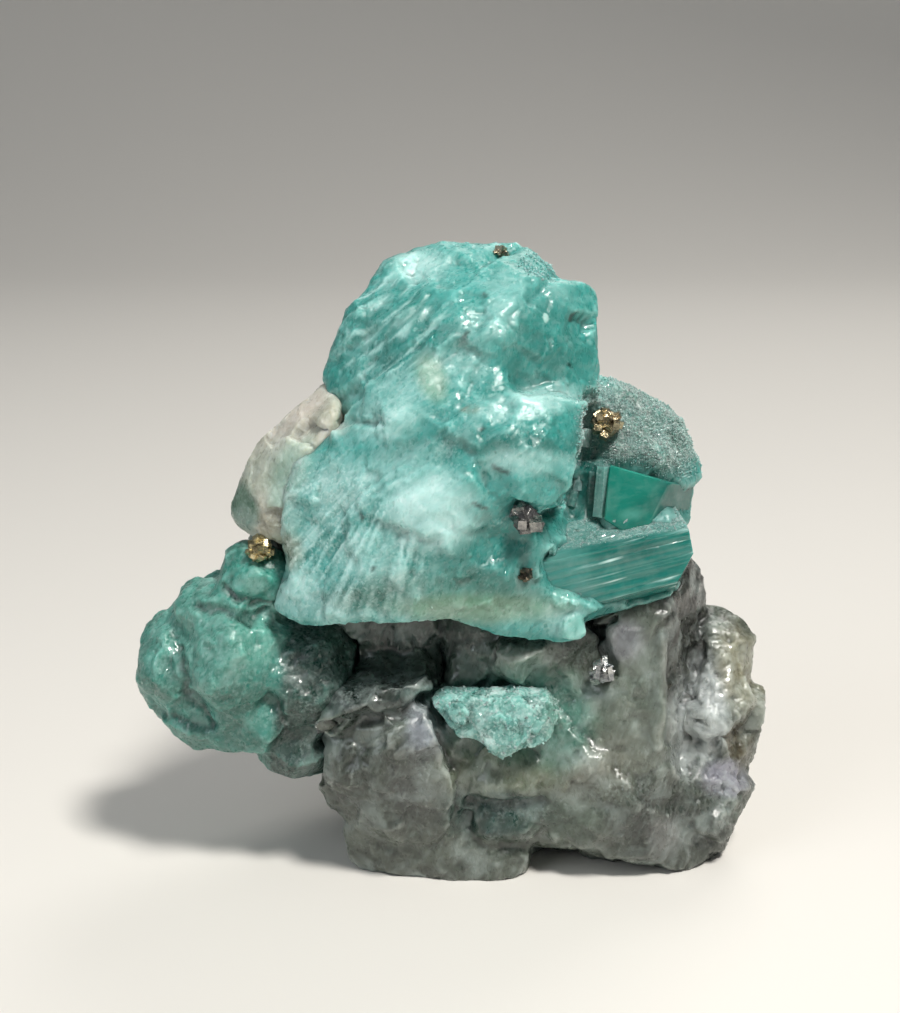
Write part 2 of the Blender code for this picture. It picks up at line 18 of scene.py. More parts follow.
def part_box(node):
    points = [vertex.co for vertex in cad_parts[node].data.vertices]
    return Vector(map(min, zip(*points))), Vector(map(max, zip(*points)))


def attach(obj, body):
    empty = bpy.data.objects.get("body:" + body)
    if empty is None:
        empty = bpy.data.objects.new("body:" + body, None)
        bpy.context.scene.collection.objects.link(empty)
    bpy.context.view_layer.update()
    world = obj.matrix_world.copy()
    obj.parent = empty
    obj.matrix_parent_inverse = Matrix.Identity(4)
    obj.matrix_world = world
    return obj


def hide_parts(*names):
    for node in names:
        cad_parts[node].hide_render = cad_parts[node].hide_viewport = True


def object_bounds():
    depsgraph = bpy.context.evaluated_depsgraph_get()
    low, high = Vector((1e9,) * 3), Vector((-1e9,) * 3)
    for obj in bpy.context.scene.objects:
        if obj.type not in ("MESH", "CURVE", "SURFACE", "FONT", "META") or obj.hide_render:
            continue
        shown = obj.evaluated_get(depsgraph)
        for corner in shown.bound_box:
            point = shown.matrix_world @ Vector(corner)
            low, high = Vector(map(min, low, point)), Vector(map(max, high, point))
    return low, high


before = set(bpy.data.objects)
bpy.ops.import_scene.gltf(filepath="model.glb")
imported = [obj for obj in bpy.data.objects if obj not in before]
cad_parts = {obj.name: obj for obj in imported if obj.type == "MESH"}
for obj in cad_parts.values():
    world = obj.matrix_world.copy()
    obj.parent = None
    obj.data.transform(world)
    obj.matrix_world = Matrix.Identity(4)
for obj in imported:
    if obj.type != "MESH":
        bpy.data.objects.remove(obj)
CAD_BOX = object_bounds()

# The CAD's origin in the frame that the surfaces are worked in
MIDDLE = np.array([0.7702, 1.8278, 0.0])

# Where the specimen is seen from: the eye, how far it looks down, and its view in units
EYE = np.array([0.0, -162.9, 77.8])
TILT = math.radians(15.0)
FOCAL = 1816.0
HALF_WIDTH, HALF_HEIGHT = 450.0, 506.5

# From millimetres to metres, and back
METRES = 0.001
MILLIMETRES = 1000.0

# The edge where the crown meets the pale rind, on the front view, and how far it reaches
SEAM = [(338, 410), (308, 441), (295, 490), (286, 545)]
SEAM_WIDTH = 16

# The middle of the crown's fan of rays, and the lean of its fibres in degrees
FAN_U, FAN_V = 432, 400
FIBRE_LEAN = 40


def linear(red, green, blue):
    """A colour given as it looks on a screen, from 0 to 255, as the shader wants it."""
    parts = [c / 255 for c in (red, green, blue)]
    return np.array([c / 12.92 if c < 0.04045 else ((c + 0.055) / 1.055) ** 2.4 for c in parts])


def smooth(value):
    value = np.clip(value, 0, 1)
    return value * value * (3 - 2 * value)


def seen(points):
    """Where points show on the front view, as u and v."""
    out = points - EYE
    depth = out[:, 1] * math.cos(TILT) - out[:, 2] * math.sin(TILT)
    rise = out[:, 1] * math.sin(TILT) + out[:, 2] * math.cos(TILT)
    return HALF_WIDTH + FOCAL * out[:, 0] / depth, HALF_HEIGHT - FOCAL * rise / depth


# Noise that is worked out for whole arrays of points at once, from a table of draws and keys that stir it
LUCK_DRAWS = 4096
LUCK = np.random.default_rng(5).random((LUCK_DRAWS, 4))
CELL_KEYS = (73856093, 19349663, 83492791)
SEED_KEY, STIR_KEY = 2654435, 1274126177


def chance(cell, seed):
    """Four draws for each cell of a grid, the same ones each time."""
    key = cell[:, 0] * CELL_KEYS[0] ^ cell[:, 1] * CELL_KEYS[1] ^ cell[:, 2] * CELL_KEYS[2]
    key = key ^ (seed * SEED_KEY + 77)
    key = (key ^ (key >> 13)) * STIR_KEY
    return LUCK[(key ^ (key >> 16)) & (LUCK_DRAWS - 1)]


def waves(points, size, octaves=3, seed=0):
    """Smooth noise, from about -1 to 1, whose largest waves are about this size."""
    total, height = np.zeros(len(points)), 1.0
    for octave in range(octaves):
        place = points / size
        base = np.floor(place)
        part = place - base
        part = part * part * (3 - 2 * part)
        base = base.astype(np.int64)
        for corner in itertools.product((0, 1), repeat=3):
            near = np.where(corner, part, 1 - part).prod(1)
            total += height * near * (chance(base + corner, seed + octave)[:, 0] * 2 - 1)
        size, height = size * 0.5, height * 0.5
    return total


def cells(points, size, seed=0):
    """Points scattered about this far apart: the distance to the nearest, its place and its luck."""
    place = points / size
    base = np.floor(place).astype(np.int64)
    near = np.full(len(points), 9.0)
    spot, luck = np.zeros((len(points), 3)), np.zeros((len(points), 4))
    for step in itertools.product((-1, 0, 1), repeat=3):
        drawn = chance(base + step, seed)
        centre = base + step + drawn[:, :3]
        gap = np.linalg.norm(place - centre, axis=1)
        closer = gap < near
        near = np.where(closer, gap, near)
        spot[closer], luck[closer] = centre[closer], drawn[closer]
    return near * size, spot * size, luck[:, ::-1]


def chips(points, size, seed=0):
    """Flat chips about this size, each tilted its own way, from about -0.5 to 0.5."""
    _, spot, luck = cells(points, size, seed)
    tilt = luck[:, :3] * 2 - 1
    tilt /= np.linalg.norm(tilt, axis=1)[:, None] + 1e-6
    return ((points - spot) * tilt).sum(1) / size


def steps(value, sharp=0.25):
    """A staircase that climbs one for one, with treads that lean back."""
    part = value - np.floor(value)
    return np.floor(value) + smooth((part - 0.5) / sharp + 0.5) - value


def patch(u, v, at_u, at_v, half_u, half_v, turn=0.0, soft=0.6):
    """1 inside an ellipse on the front view, falling to 0 over its soft edge.

    A positive turn, in degrees, raises its right end.
    """
    angle = math.radians(turn)
    along = (u - at_u) * math.cos(angle) - (v - at_v) * math.sin(angle)
    across = (u - at_u) * math.sin(angle) + (v - at_v) * math.cos(angle)
    reach = np.hypot(along / half_u, across / half_v)
    return smooth((1 + soft / 2 - reach) / soft)


def stroke(u, v, ends, width):
    """1 along a line of points on the front view, falling to 0 at this distance from it."""
    gap = np.full(len(u), 1e9)
    for (u0, v0), (u1, v1) in zip(ends, ends[1:]):
        run = (u1 - u0) ** 2 + (v1 - v0) ** 2
        t = np.clip(((u - u0) * (u1 - u0) + (v - v0) * (v1 - v0)) / run, 0, 1)
        gap = np.minimum(gap, np.hypot(u - u0 - t * (u1 - u0), v - v0 - t * (v1 - v0)))
    return smooth(1 - gap / width)


def put_in_scene(name, data):
    made = bpy.data.objects.new(name, data)
    bpy.context.scene.collection.objects.link(made)
    return made


def store_tint(mesh, shade):
    """Keeps a colour for each point, with its alpha, on the mesh."""
    colour = mesh.attributes.new("tint", "FLOAT_COLOR", "POINT")
    colour.data.foreach_set("color", shade.astype(np.float32).ravel())


def strokes(u, v, table):
    """The strongest of a table of strokes at each place, each stroke as (amount, width, line of points)."""
    total = np.zeros(len(u))
    for amount, width, ends in table:
        total = np.maximum(total, amount * stroke(u, v, ends, width))
    return total


class Skin:
    """A CAD node's surface as an even net of small quads, its points in millimetres."""

    def __init__(self, node, net, rounds, grow, extra=()):
        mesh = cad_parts[node].data.copy()
        mesh.transform(Matrix.Scale(MILLIMETRES, 4))
        bm = bmesh.new()
        bm.from_mesh(mesh)
        bmesh.ops.remove_doubles(bm, verts=bm.verts, dist=0.002)
        for shape in extra:
            shape.transform(Matrix.Translation(-MIDDLE))
            bm.from_mesh(shape)
        bm.to_mesh(mesh)
        bm.free()
        work = put_in_scene("work", mesh)
        remesh = work.modifiers.new("even net", "REMESH")
        remesh.mode = "VOXEL"
        remesh.voxel_size = net
        graph = bpy.context.evaluated_depsgraph_get()
        self.mesh = bpy.data.meshes.new_from_object(work.evaluated_get(graph))
        bpy.data.objects.remove(work)
        self.mesh.name = node
        place = np.empty(len(self.mesh.vertices) * 3)
        self.mesh.vertices.foreach_get("co", place)
        self.at = place.reshape(-1, 3) + MIDDLE
        corners = np.empty(len(self.mesh.loops), np.int32)
        self.mesh.loops.foreach_get("vertex_index", corners)
        self.quads = corners.reshape(-1, 4)
        self.count = len(self.at)
        ring = np.roll(self.quads, -1, axis=1)
        self.one = np.concatenate([self.quads.ravel(), ring.ravel()])
        self.two = np.concatenate([ring.ravel(), self.quads.ravel()])
        self.ways = np.bincount(self.one, minlength=self.count)
        self.soften(rounds)
        self.push(np.full(self.count, grow))
        self.u, self.v = seen(self.at)
        self.front = smooth((-self.normals()[:, 1] + 0.55) / 0.6)

    def mean_near(self, value):
        near = [np.bincount(self.one, value[self.two, i], self.count) for i in range(value.shape[1])]
        return np.stack(near, 1) / self.ways[:, None]

    def softened(self, rounds):
        """The points, each drawn half way to its neighbours in each round."""
        at = self.at.copy()
        for _ in range(rounds):
            at += 0.5 * (self.mean_near(at) - at)
        return at

    def soften(self, rounds):
        self.at = self.softened(rounds)

    def spans(self):
        """Each quad's normal, as long as twice its area."""
        corner = self.at[self.quads]
        return np.cross(corner[:, 2] - corner[:, 0], corner[:, 3] - corner[:, 1])

    def normals(self):
        face = self.spans()
        total = np.stack(
            [np.bincount(self.quads.ravel(), np.repeat(face[:, i], 4), self.count) for i in range(3)], 1
        )
        return total / (np.linalg.norm(total, axis=1)[:, None] + 1e-12)

    def push(self, height):
        self.at += self.normals() * height[:, None]

    def flatten(self, size, strength, seed, tilt=0.12):
        """Presses the skin onto flat facets about this size."""
        rng = np.random.default_rng(seed)
        normals = self.normals()
        area = np.linalg.norm(self.spans(), axis=1).sum() / 2
        picked = rng.choice(self.count, int(area / size**2), replace=False)
        lean = normals[picked] + rng.normal(0, tilt, (len(picked), 3))
        lean /= np.linalg.norm(lean, axis=1)[:, None]
        tree = kdtree.KDTree(len(picked))
        for index, spot in enumerate(self.at[picked]):
            tree.insert(spot, index)
        tree.balance()
        warped = self.at + 0.25 * size * np.stack([waves(self.at, size, 2, seed + i) for i in range(3)], 1)
        nearest = np.array([tree.find(spot)[1] for spot in warped])
        plane = lean[nearest]
        off = ((self.at - self.at[picked][nearest]) * plane).sum(1)
        reach = 0.45 * size
        off = np.clip(off, -reach, reach)
        self.at -= plane * (off * strength)[:, None]

    def hollow(self, rounds):
        """Above 0 in a crease, below 0 on an edge, in millimetres."""
        return ((self.softened(rounds) - self.at) * self.normals()).sum(1)

    def finish(self, name, tint, marks, material, replaces=()):
        hand_over(self.mesh, self.at, name, tint, marks, material, True, replaces)


def hand_over(mesh, at, name, tint, marks, material, rounded=False, replaces=()):
    """Makes a finished piece, with its colour and its marks stored on its points."""
    mesh.vertices.foreach_set("co", ((at - MIDDLE) * METRES).astype(np.float32).ravel())
    mesh.update()
    store_tint(mesh, np.concatenate([np.clip(tint, 0, 1), np.ones((len(at), 1))], 1))
    for mark, value in marks.items():
        attribute = mesh.attributes.new(mark, "FLOAT", "POINT")
        attribute.data.foreach_set("value", np.clip(value, 0, 1).astype(np.float32))
    mesh.polygons.foreach_set("use_smooth", np.full(len(mesh.polygons), rounded))
    mesh.materials.clear()
    mesh.materials.append(material)
    piece = put_in_scene(name, mesh)
    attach(piece, "root")
    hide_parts(*replaces)


def mesh_of(bm, name):
    """The mesh of a bmesh in millimetres, and its points."""
    mesh = bpy.data.meshes.new(name)
    bm.normal_update()
    bm.to_mesh(mesh)
    bm.free()
    at = np.empty(len(mesh.vertices) * 3)
    mesh.vertices.foreach_get("co", at)
    return mesh, at.reshape(-1, 3)


class Paint:
    """A colour for each point, laid on in coats."""

    def __init__(self, count, base):
        self.tint = np.tile(linear(*base), (count, 1))

    def coat(self, colour, amount):
        amount = np.broadcast_to(amount, len(self.tint))
        self.tint += (linear(*colour) - self.tint) * np.clip(amount, 0, 1)[:, None]


class Nodes:
    """Short ways to wire up a material."""

    def __init__(self, name):
        self.material = bpy.data.materials.new(name)
        self.material.use_nodes = True
        self.tree = self.material.node_tree
        self.shader = self.tree.nodes["Principled BSDF"]

    def feed(self, socket, value):
        """Wires up a socket, or sets its own value."""
        if isinstance(value, bpy.types.NodeSocket):
            self.tree.links.new(value, socket)
        elif socket.type == "RGBA" and len(value) == 3:
            socket.default_value = (*value, 1.0)
        else:
            socket.default_value = value

    def set(self, node, **inputs):
        for name, value in inputs.items():
            self.feed(node.inputs[name.replace("_", " ")], value)
        return node

    def make(self, kind, settings=None, **inputs):
        node = self.tree.nodes.new("ShaderNode" + kind)
        for name, value in (settings or {}).items():
            setattr(node, name, value)
        return self.set(node, **inputs)

    def place(self):
        """Object coordinates in millimetres."""
        return self.vector("SCALE", self.make("TexCoord").outputs["Object"], Scale=MILLIMETRES)

    def mark(self, name):
        return self.make("Attribute", {"attribute_name": name})

    def math(self, operation, *values, clamp=False):
        node = self.make("Math", {"operation": operation, "use_clamp": clamp})
        for socket, value in zip(node.inputs, values):
            self.feed(socket, value)
        return node.outputs[0]

    def times(self, one, two):
        return self.math("MULTIPLY", one, two)

    def plus(self, one, two):
        return self.math("ADD", one, two)

    def vector(self, operation, *values, **inputs):
        node = self.make("VectorMath", {"operation": operation}, **inputs)
        for socket, value in zip(node.inputs, values):
            self.feed(socket, value)
        return node.outputs[0]

    def fibres(self, place, lean, length):
        """Coordinates drawn out along a line that leans this many degrees up to the right."""
        turn, size = (0.0, -math.radians(lean), 0.0), (length, 1.0, 1.0)
        node = self.make("Mapping", {"vector_type": "TEXTURE"}, Vector=place, Rotation=turn, Scale=size)
        return node.outputs[0]

    def noise(self, place, scale, detail=3.0, rough=0.6, warp=0.0):
        look = {"Scale": scale, "Detail": detail, "Roughness": rough, "Distortion": warp}
        return self.make("TexNoise", Vector=place, **look).outputs["Fac"]

    def ramp(self, value, low, high):
        node = self.make("MapRange", {"clamp": True}, Value=value, From_Min=low, From_Max=high)
        return node.outputs[0]

    def mix(self, amount, one, two, blend="MIX"):
        node = self.make("Mix", {"data_type": "RGBA", "blend_type": blend})
        for index, value in ((0, amount), (6, one), (7, two)):
            self.feed(node.inputs[index], value)
        return node.outputs[2]

    def bump(self, height, distance, strength=1.0):
        node = self.make("Bump", Height=height, Distance=distance * METRES, Strength=strength)
        return node.outputs[0]


def glitter(nodes, place, scale, amount, normal, share=1.0):
    """Tilts the surface its own way in this share of tiny cells, as small crystal faces do.

    Gives the new normal and by how much each place is tilted.
    """
    grains = nodes.make("TexVoronoi", Vector=place, Scale=scale).outputs["Color"]
    if share < 1:
        lit = nodes.math("LESS_THAN", nodes.make("SeparateColor", Color=grains).outputs[0], share)
        amount = nodes.math("MULTIPLY", amount, lit)
    centred = nodes.vector("SUBTRACT", grains, (share / 2, 0.5, 0.5))
    tilt = nodes.vector("SCALE", centred, Scale=amount)
    return nodes.vector("NORMALIZE", nodes.vector("ADD", normal, tilt)), amount


# The colour of milkiness, the share of small faces that glint, and the least roughness of one
WHITE = (1.0, 1.0, 1.0)
MILK = (0.74, 0.86, 0.83)
GLINT_SHARE = 0.2
SMOOTHEST = 0.07
BERYL_IOR = 1.58


def crystal_material(
    name, depth, radius, gloss, coat, grit, lean,
    milkiness=0.25, veiled=0.35, frost=1.0, relief=0.14, clear=0.0,
):
    """A milky crystal that light goes into and comes out of again, streaked along its lean and with glints.

    Light goes this depth in, times its radius for each colour. Gloss is its roughness, coat its wet shine
    and grit how fine its glints are. Clear is the share of light that goes straight through.
    """
    n = Nodes(name)
    place = n.place()
    tint = n.mark("tint").outputs["Color"]
    sugar, cloud, broken = [n.mark(mark).outputs["Fac"] for mark in ("sugar", "bloom", "broken")]

    # Fibrous grain, veils, wisps and flecks
    fibre = n.noise(n.fibres(place, lean, 8.0), 2.4, 4.0, 0.6, 0.3)
    grain = n.noise(place, 1.6, 3.0, 0.55, 0.6)
    grain = n.plus(n.times(grain, 0.4), n.times(fibre, 0.6))
    veil = n.noise(place, 0.5, 3.0, 0.5, 1.2)
    wisps = n.noise(place, 0.3, 3.0, 0.5, 0.6)
    specks = n.make("TexVoronoi", Vector=place, Scale=5.0).outputs["Color"]
    flecks = n.make("SeparateColor", Color=specks).outputs[0]
    frosted = n.times(n.times(n.ramp(flecks, 0.55, 0.95), sugar), frost)

    # Its colour, milkier along the grain and deeper behind the veils
    milk = n.mix(0.36, tint, MILK)
    deep = n.mix(0.8, WHITE, tint)
    milky = n.times(n.ramp(grain, 0.48, 0.64), n.plus(n.times(cloud, 0.6), milkiness))
    colour = n.mix(milky, tint, milk)
    colour = n.mix(n.times(n.ramp(veil, 0.60, 0.36), veiled), colour, deep, "MULTIPLY")
    colour = n.mix(n.times(n.ramp(wisps, 0.50, 0.68), veiled), colour, milk)
    colour = n.mix(frosted, colour, milk)

    # Its low relief and glints
    rough = n.plus(n.times(n.ramp(grain, 0.35, 0.7), 0.12), gloss)
    rough = n.math("ADD", rough, n.times(sugar, 0.10), clamp=True)
    normal = n.bump(n.plus(n.times(grain, 0.7), n.times(frosted, 0.2)), relief)
    chipped = n.times(broken, n.ramp(veil, 0.3, 0.6))
    normal, _ = glitter(n, place, 2.2, n.plus(n.times(chipped, 0.2), 0.03), normal)
    amount = n.times(n.plus(sugar, chipped), 0.9)
    normal, lit = glitter(n, n.fibres(place, lean + 40, 2.0), grit, amount, normal, GLINT_SHARE)
    rough = n.math("MAXIMUM", n.math("SUBTRACT", rough, n.times(lit, 0.5)), SMOOTHEST)

    n.set(n.shader, Base_Color=colour, Roughness=rough, Normal=normal, Coat_Normal=normal)
    n.set(n.shader, Subsurface_Weight=1.0 - clear, Subsurface_Radius=radius, Subsurface_Scale=depth * METRES)
    n.set(n.shader, Transmission_Weight=clear, Coat_Weight=coat, Coat_Roughness=0.04, IOR=BERYL_IOR)
    return n.material


def metal_material():
    n = Nodes("pyrite_metal")
    place = n.place()
    patchy = n.noise(place, 1.3, 3.0)
    bands = n.make("TexWave", {"wave_type": "BANDS"}, Vector=place, Scale=4.0, Distortion=1.5, Detail=2.0)
    lines = bands.outputs["Fac"]
    tint = n.mark("tint").outputs["Color"]
    tarnish = n.mix(1.0, tint, (0.4, 0.42, 0.45), "MULTIPLY")
    colour = n.mix(n.ramp(patchy, 0.4, 0.65), tint, tarnish)
    rough = n.plus(n.times(n.noise(place, 5.0), 0.3), 0.10)
    n.set(n.shader, Base_Color=colour, Roughness=rough, Metallic=1.0, Normal=n.bump(lines, 0.05, 0.6))
    return n.material


EMERALD = crystal_material("emerald_beryl", 1.6, (0.7, 1.0, 0.93), 0.3, 0.06, 4.8, 38)
QUARTZ = crystal_material(
    "smoky_quartz", 1.8, (1.0, 0.97, 0.9), 0.26, 0.06, 4.0, 70, veiled=0.5, frost=0.3, relief=0.09
)
GLASSY = crystal_material(
    "clear_beryl", 1.4, (0.65, 1.0, 0.92), 0.08, 0.15, 4.0, 11,
    milkiness=0.06, veiled=0.2, relief=0.02, clear=0.25,
)
CALCITE = crystal_material("calcite_crust", 1.0, (1.0, 0.9, 0.75), 0.42, 0.0, 4.0, 62, veiled=0.5)
PYRITE = metal_material()

# A skin's front is 1 where it faces the front view, so marks that are placed there keep off its back

# The mass's thin lower left tip: front corners as (u, v, distance back)
WING_TIP = (
    (280, 610, -9.8), (300, 620, -11.0), (323, 627, -12.0), (346, 616, -12.8), (340, 588, -12.5),
    (304, 560, -10.6), (288, 574, -10.2),
)


def grow_mass():
    """The crown of grown-together crystals, with its fibres, its fan of rays and its sugary knob."""
    s = Skin("emerald_mass", 0.25, 12, 0.18, [mesh_of(plate(WING_TIP, 2.5), "wing")[0]])
    u, v, f = s.u, s.v, s.front

    # Where each kind of surface is
    slab = patch(u, v, 540, 335, 52, 62, 10) * f
    face = patch(u, v, 636, 490, 32, 30) * f
    under_prism = patch(u, v, 622, 562, 78, 36, 8, 0.3) * f
    wedge = patch(u, v, 392, 328, 62, 62, 40) * f
    calm = np.clip(slab * 0.75 + face + under_prism, 0, 1)
    broken = 1 - 0.85 * calm
    knob = patch(u, v, 648, 425, 62, 52) * (1 - face)
    ridge = patch(u, v, 470, 258, 100, 20)
    seam = stroke(u, v, SEAM, SEAM_WIDTH)
    stub = patch(u, v, 566, 600, 13, 10, -10, 0.5) + patch(u, v, 572, 622, 12, 8, 20, 0.5)

    # Broken facets
    s.flatten(3.2, 0.55, 31)
    s.push(waves(s.at, 5.0, 2, 3) * 0.1 * (1 - calm * 0.7))
    s.flatten(1.8, 0.4, 32, 0.12)
    s.soften(1)

    # Terraces along the fibres, and rays that spread from the fan's middle
    slant = math.radians(FIBRE_LEAN)
    over, along = u * math.sin(slant) + v * math.cos(slant), u * math.cos(slant) - v * math.sin(slant)
    height = steps(over / 13 + waves(s.at, 7.0, 2, 8) * 0.7) * 0.15 * wedge
    turn = np.arctan2(v - FAN_V, FAN_U - u)
    away = np.hypot(u - FAN_U, v - FAN_V)
    fan = smooth((away - 70) / 60) * patch(u, v, 345, 548, 92, 70, -48) * f
    rays = waves(np.stack([turn * 34, away / 60, 0 * away], 1), 1.0, 2, 60)
    fine_rays = waves(np.stack([turn * 80, away / 30, 0 * away], 1), 1.0, 2, 62)
    upper = smooth((620 - v) / 24)
    height += (rays * 0.08 + fine_rays * 0.04) * fan * upper

    # Sunk under the clear crystals, raised at the ledge, the stub and the seam, and cut by crevices
    height -= 1.5 * under_prism + 0.6 * face
    below = v - 402 + 0.25 * (u - 470) - 3 * np.sin((u - 480) / 16)
    ledge = smooth(below / 7) * smooth((80 - below) / 75) * smooth((u - 462) / 50) * smooth((584 - u) / 8)
    height += 0.32 * ledge * f
    height += (0.35 + chips(s.at, 1.1, 44) * 0.3) * stub * f
    height += 0.45 * seam * f
    height -= 0.9 * stroke(u, v, [(281, 548), (280, 576)], 11) * f
    crevice = strokes(u, v, (
        (1.0, 11, [(592, 398), (588, 440), (580, 470), (574, 512)]),
        (0.6, 8, [(536, 516), (560, 508), (575, 486)]),
        (0.25, 9, [(552, 279), (530, 300), (505, 322)]),
        (0.4, 6, [(330, 428), (352, 420), (372, 424)]),
    ))
    height -= 1.1 * crevice * f
    height += chips(s.at, 1.6, 41) * 0.08 * broken + chips(s.at, 0.6, 42) * 0.045 * broken
    height += chips(s.at, 0.75, 43) * 0.1 * knob
    s.push(height)

    # Its ground colour, with deep green in the clear places
    p = Paint(s.count, (64, 152, 145))
    big, mid, fine = waves(s.at, 7.0, 3, 50), waves(s.at, 2.6, 3, 51), waves(s.at, 0.9, 2, 52)
    hollow = s.hollow(12)
    p.coat((38, 116, 108), smooth(big * 0.9 + 0.1) * 0.5)
    p.coat((116, 188, 184), smooth(-big * 0.8 + mid * 0.3) * 0.4)
    for *shape, amount in (
        (392, 330, 52, 44, 35, 0.35), (455, 345, 34, 18, 20, 0.35), (545, 345, 40, 52, 10, 0.5),
        (520, 446, 52, 14, -4, 0.55), (428, 448, 56, 13, 4, 0.45), (350, 603, 40, 14, 4, 0.6),
        (636, 490, 28, 24, 0, 0.9), (615, 572, 52, 20, 8, 0.75), (505, 560, 58, 30, 0, 0.5),
        (672, 500, 18, 22, 0, 0.6), (586, 468, 14, 52, 0, 0.75), (400, 560, 20, 30, 0, 0.35),
    ):
        p.coat((24, 106, 98), patch(u, v, *shape, 0.9) * amount * f * (0.95 + 0.25 * mid))

    # Milky blooms, with the rays and the fibres drawn in them
    bloom = np.zeros(s.count)
    for *shape, amount in (
        (430, 512, 40, 34, 0, 1.0), (419, 266, 26, 13, 0, 0.8), (530, 404, 50, 14, 10, 0.65),
        (528, 462, 38, 12, 0, 0.65), (392, 424, 32, 16, 20, 0.65), (300, 592, 24, 22, 0, 0.6),
        (372, 556, 26, 26, 0, 0.55), (562, 612, 22, 14, 0, 0.6), (345, 490, 40, 30, 20, 0.5),
        (440, 615, 90, 9, 0, 0.5), (610, 528, 48, 10, 8, 0.5), (380, 480, 60, 20, 25, 0.5),
    ):
        bloom = np.maximum(bloom, patch(u, v, *shape, 1.1) * amount)
    bloom = np.maximum(bloom, 0.32 * stroke(u, v, [(335, 425), (400, 400), (470, 350), (505, 300)], 34))
    bloom = np.clip(bloom * f * (0.95 + 0.4 * mid + 0.2 * fine), 0, 1)
    streaks = smooth(rays * 0.9 + fine_rays * 0.7 + 0.25)
    bloom = np.maximum(bloom, streaks * fan * 0.85)
    grainy = waves(np.stack([over / 3.2, along / 32, 0 * over], 1), 1.0, 2, 63)
    bloom = np.maximum(bloom, smooth(grainy * 1.1 - 0.05) * wedge * 0.7)
    p.coat((184, 222, 218), bloom * 0.8)
    p.coat((200, 228, 226), patch(u, v, 428, 508, 40, 30, 20, 1.2) * f * (0.6 + 0.3 * mid))

    # Stains, pale edges, the sugary knob and the dark flecks, with painted shade on the lower front and in
    # the creases, and a painted glint
    # Painted shade on the crown's lower front, where it turns down
    p.coat((60, 104, 88), patch(u, v, 440, 596, 110, 22, 0, 1.0) * f * 0.55)
    p.coat((172, 190, 180), seam * f * 0.6)
    p.coat((200, 206, 200), patch(u, v, 325, 424, 20, 12, -10, 0.9) * f * 0.7)
    p.coat((146, 142, 124), patch(u, v, 291, 552, 12, 18, 0, 0.9) * f * 0.6)
    # Painted highlight: a small glint on the slab
    p.coat((206, 236, 230), patch(u, v, 545, 318, 3, 5, 10, 0.5) * f * 0.7)
    p.coat((108, 138, 126), knob * 0.8 * (0.85 + 0.2 * fine))
    p.coat((116, 176, 166), stub * f * 0.7)
    p.coat((140, 156, 116), patch(u, v, 480, 608, 80, 14, 0, 0.9) * f * 0.4)
    p.coat((140, 128, 108), patch(u, v, 470, 411, 9, 5, 10, 0.8) * f * (0.5 + 0.4 * fine))
    p.coat((38, 112, 104), patch(u, v, 650, 600, 46, 16, 20, 0.9) * f * 0.75)
    p.coat((170, 175, 140), patch(u, v, 432, 378, 14, 24, 20, 0.9) * f * 0.35)
    # Painted shade in the creases; the edges are paler
    p.coat((22, 78, 70), smooth(hollow * 4 - 0.15) * 0.5)
    p.coat((186, 230, 224), smooth(-hollow * 4 - 0.2) * 0.4)
    for ends in (
        [(462, 343), (468, 336)], [(484, 295), (485, 298)], [(480, 432), (483, 430)],
        [(361, 514), (363, 519)], [(372, 569), (374, 568)], [(573, 314), (574, 318)],
        [(494, 466), (500, 469), (508, 473)], [(474, 503), (480, 506), (486, 508)],
        [(569, 364), (570, 366)],
    ):
        p.coat((24, 44, 38), stroke(u, v, ends, 3.4) * f * 0.85)

    sugar = np.clip(knob * 0.9 + ridge * 0.3 + 0.4 * smooth(mid) + 0.4 * fan - 0.8 * slab, 0, 1)
    sugar = sugar * (1 - 0.9 * face)
    broken_skin = np.clip(broken - 0.3 * bloom, 0, 1)
    where = np.clip(knob + 0.15 * patch(u, v, 536, 268, 18, 14), 0, 1) * f + 0.0001
    shades = p.tint * 0.9 + 0.1 * linear(150, 180, 172)
    grow_grains(s, shades, "sugar_grains", EMERALD, where, 4200, 0.08, 0.24, 61)
    grow_crystals(s)
    marks = {"bloom": bloom, "sugar": sugar, "broken": broken_skin}
    s.finish("emerald_mass_crystal", p.tint, marks, EMERALD, ["emerald_mass"])


def sight_line(at_u, at_v):
    """The way from the eye to a place on the front view."""
    ahead = Vector((0, math.cos(TILT), -math.sin(TILT)))
    up = Vector((0, math.sin(TILT), math.cos(TILT)))
    across = Vector(((at_u - HALF_WIDTH) / FOCAL, 0, 0))
    return (ahead + across + up * ((HALF_HEIGHT - at_v) / FOCAL)).normalized()


def sight(skin):
    """Finds the skin's point that shows at a place on the front view."""
    tree = BVHTree.FromPolygons(skin.at.tolist(), skin.quads.tolist())
    return lambda at_u, at_v: tree.ray_cast(Vector(EYE), sight_line(at_u, at_v))[0]


def grow_grains(skin, tint, name, material, mask, amount, low, high, seed):
    """Tiny six-sided crystals scattered over part of a skin."""
    rng = np.random.default_rng(seed)
    picked = rng.choice(skin.count, amount, replace=False, p=mask / mask.sum())
    set_grains(skin.at[picked], skin.normals()[picked], tint[picked], name, material, low, high, rng)


GRAIN_POINTS = 12


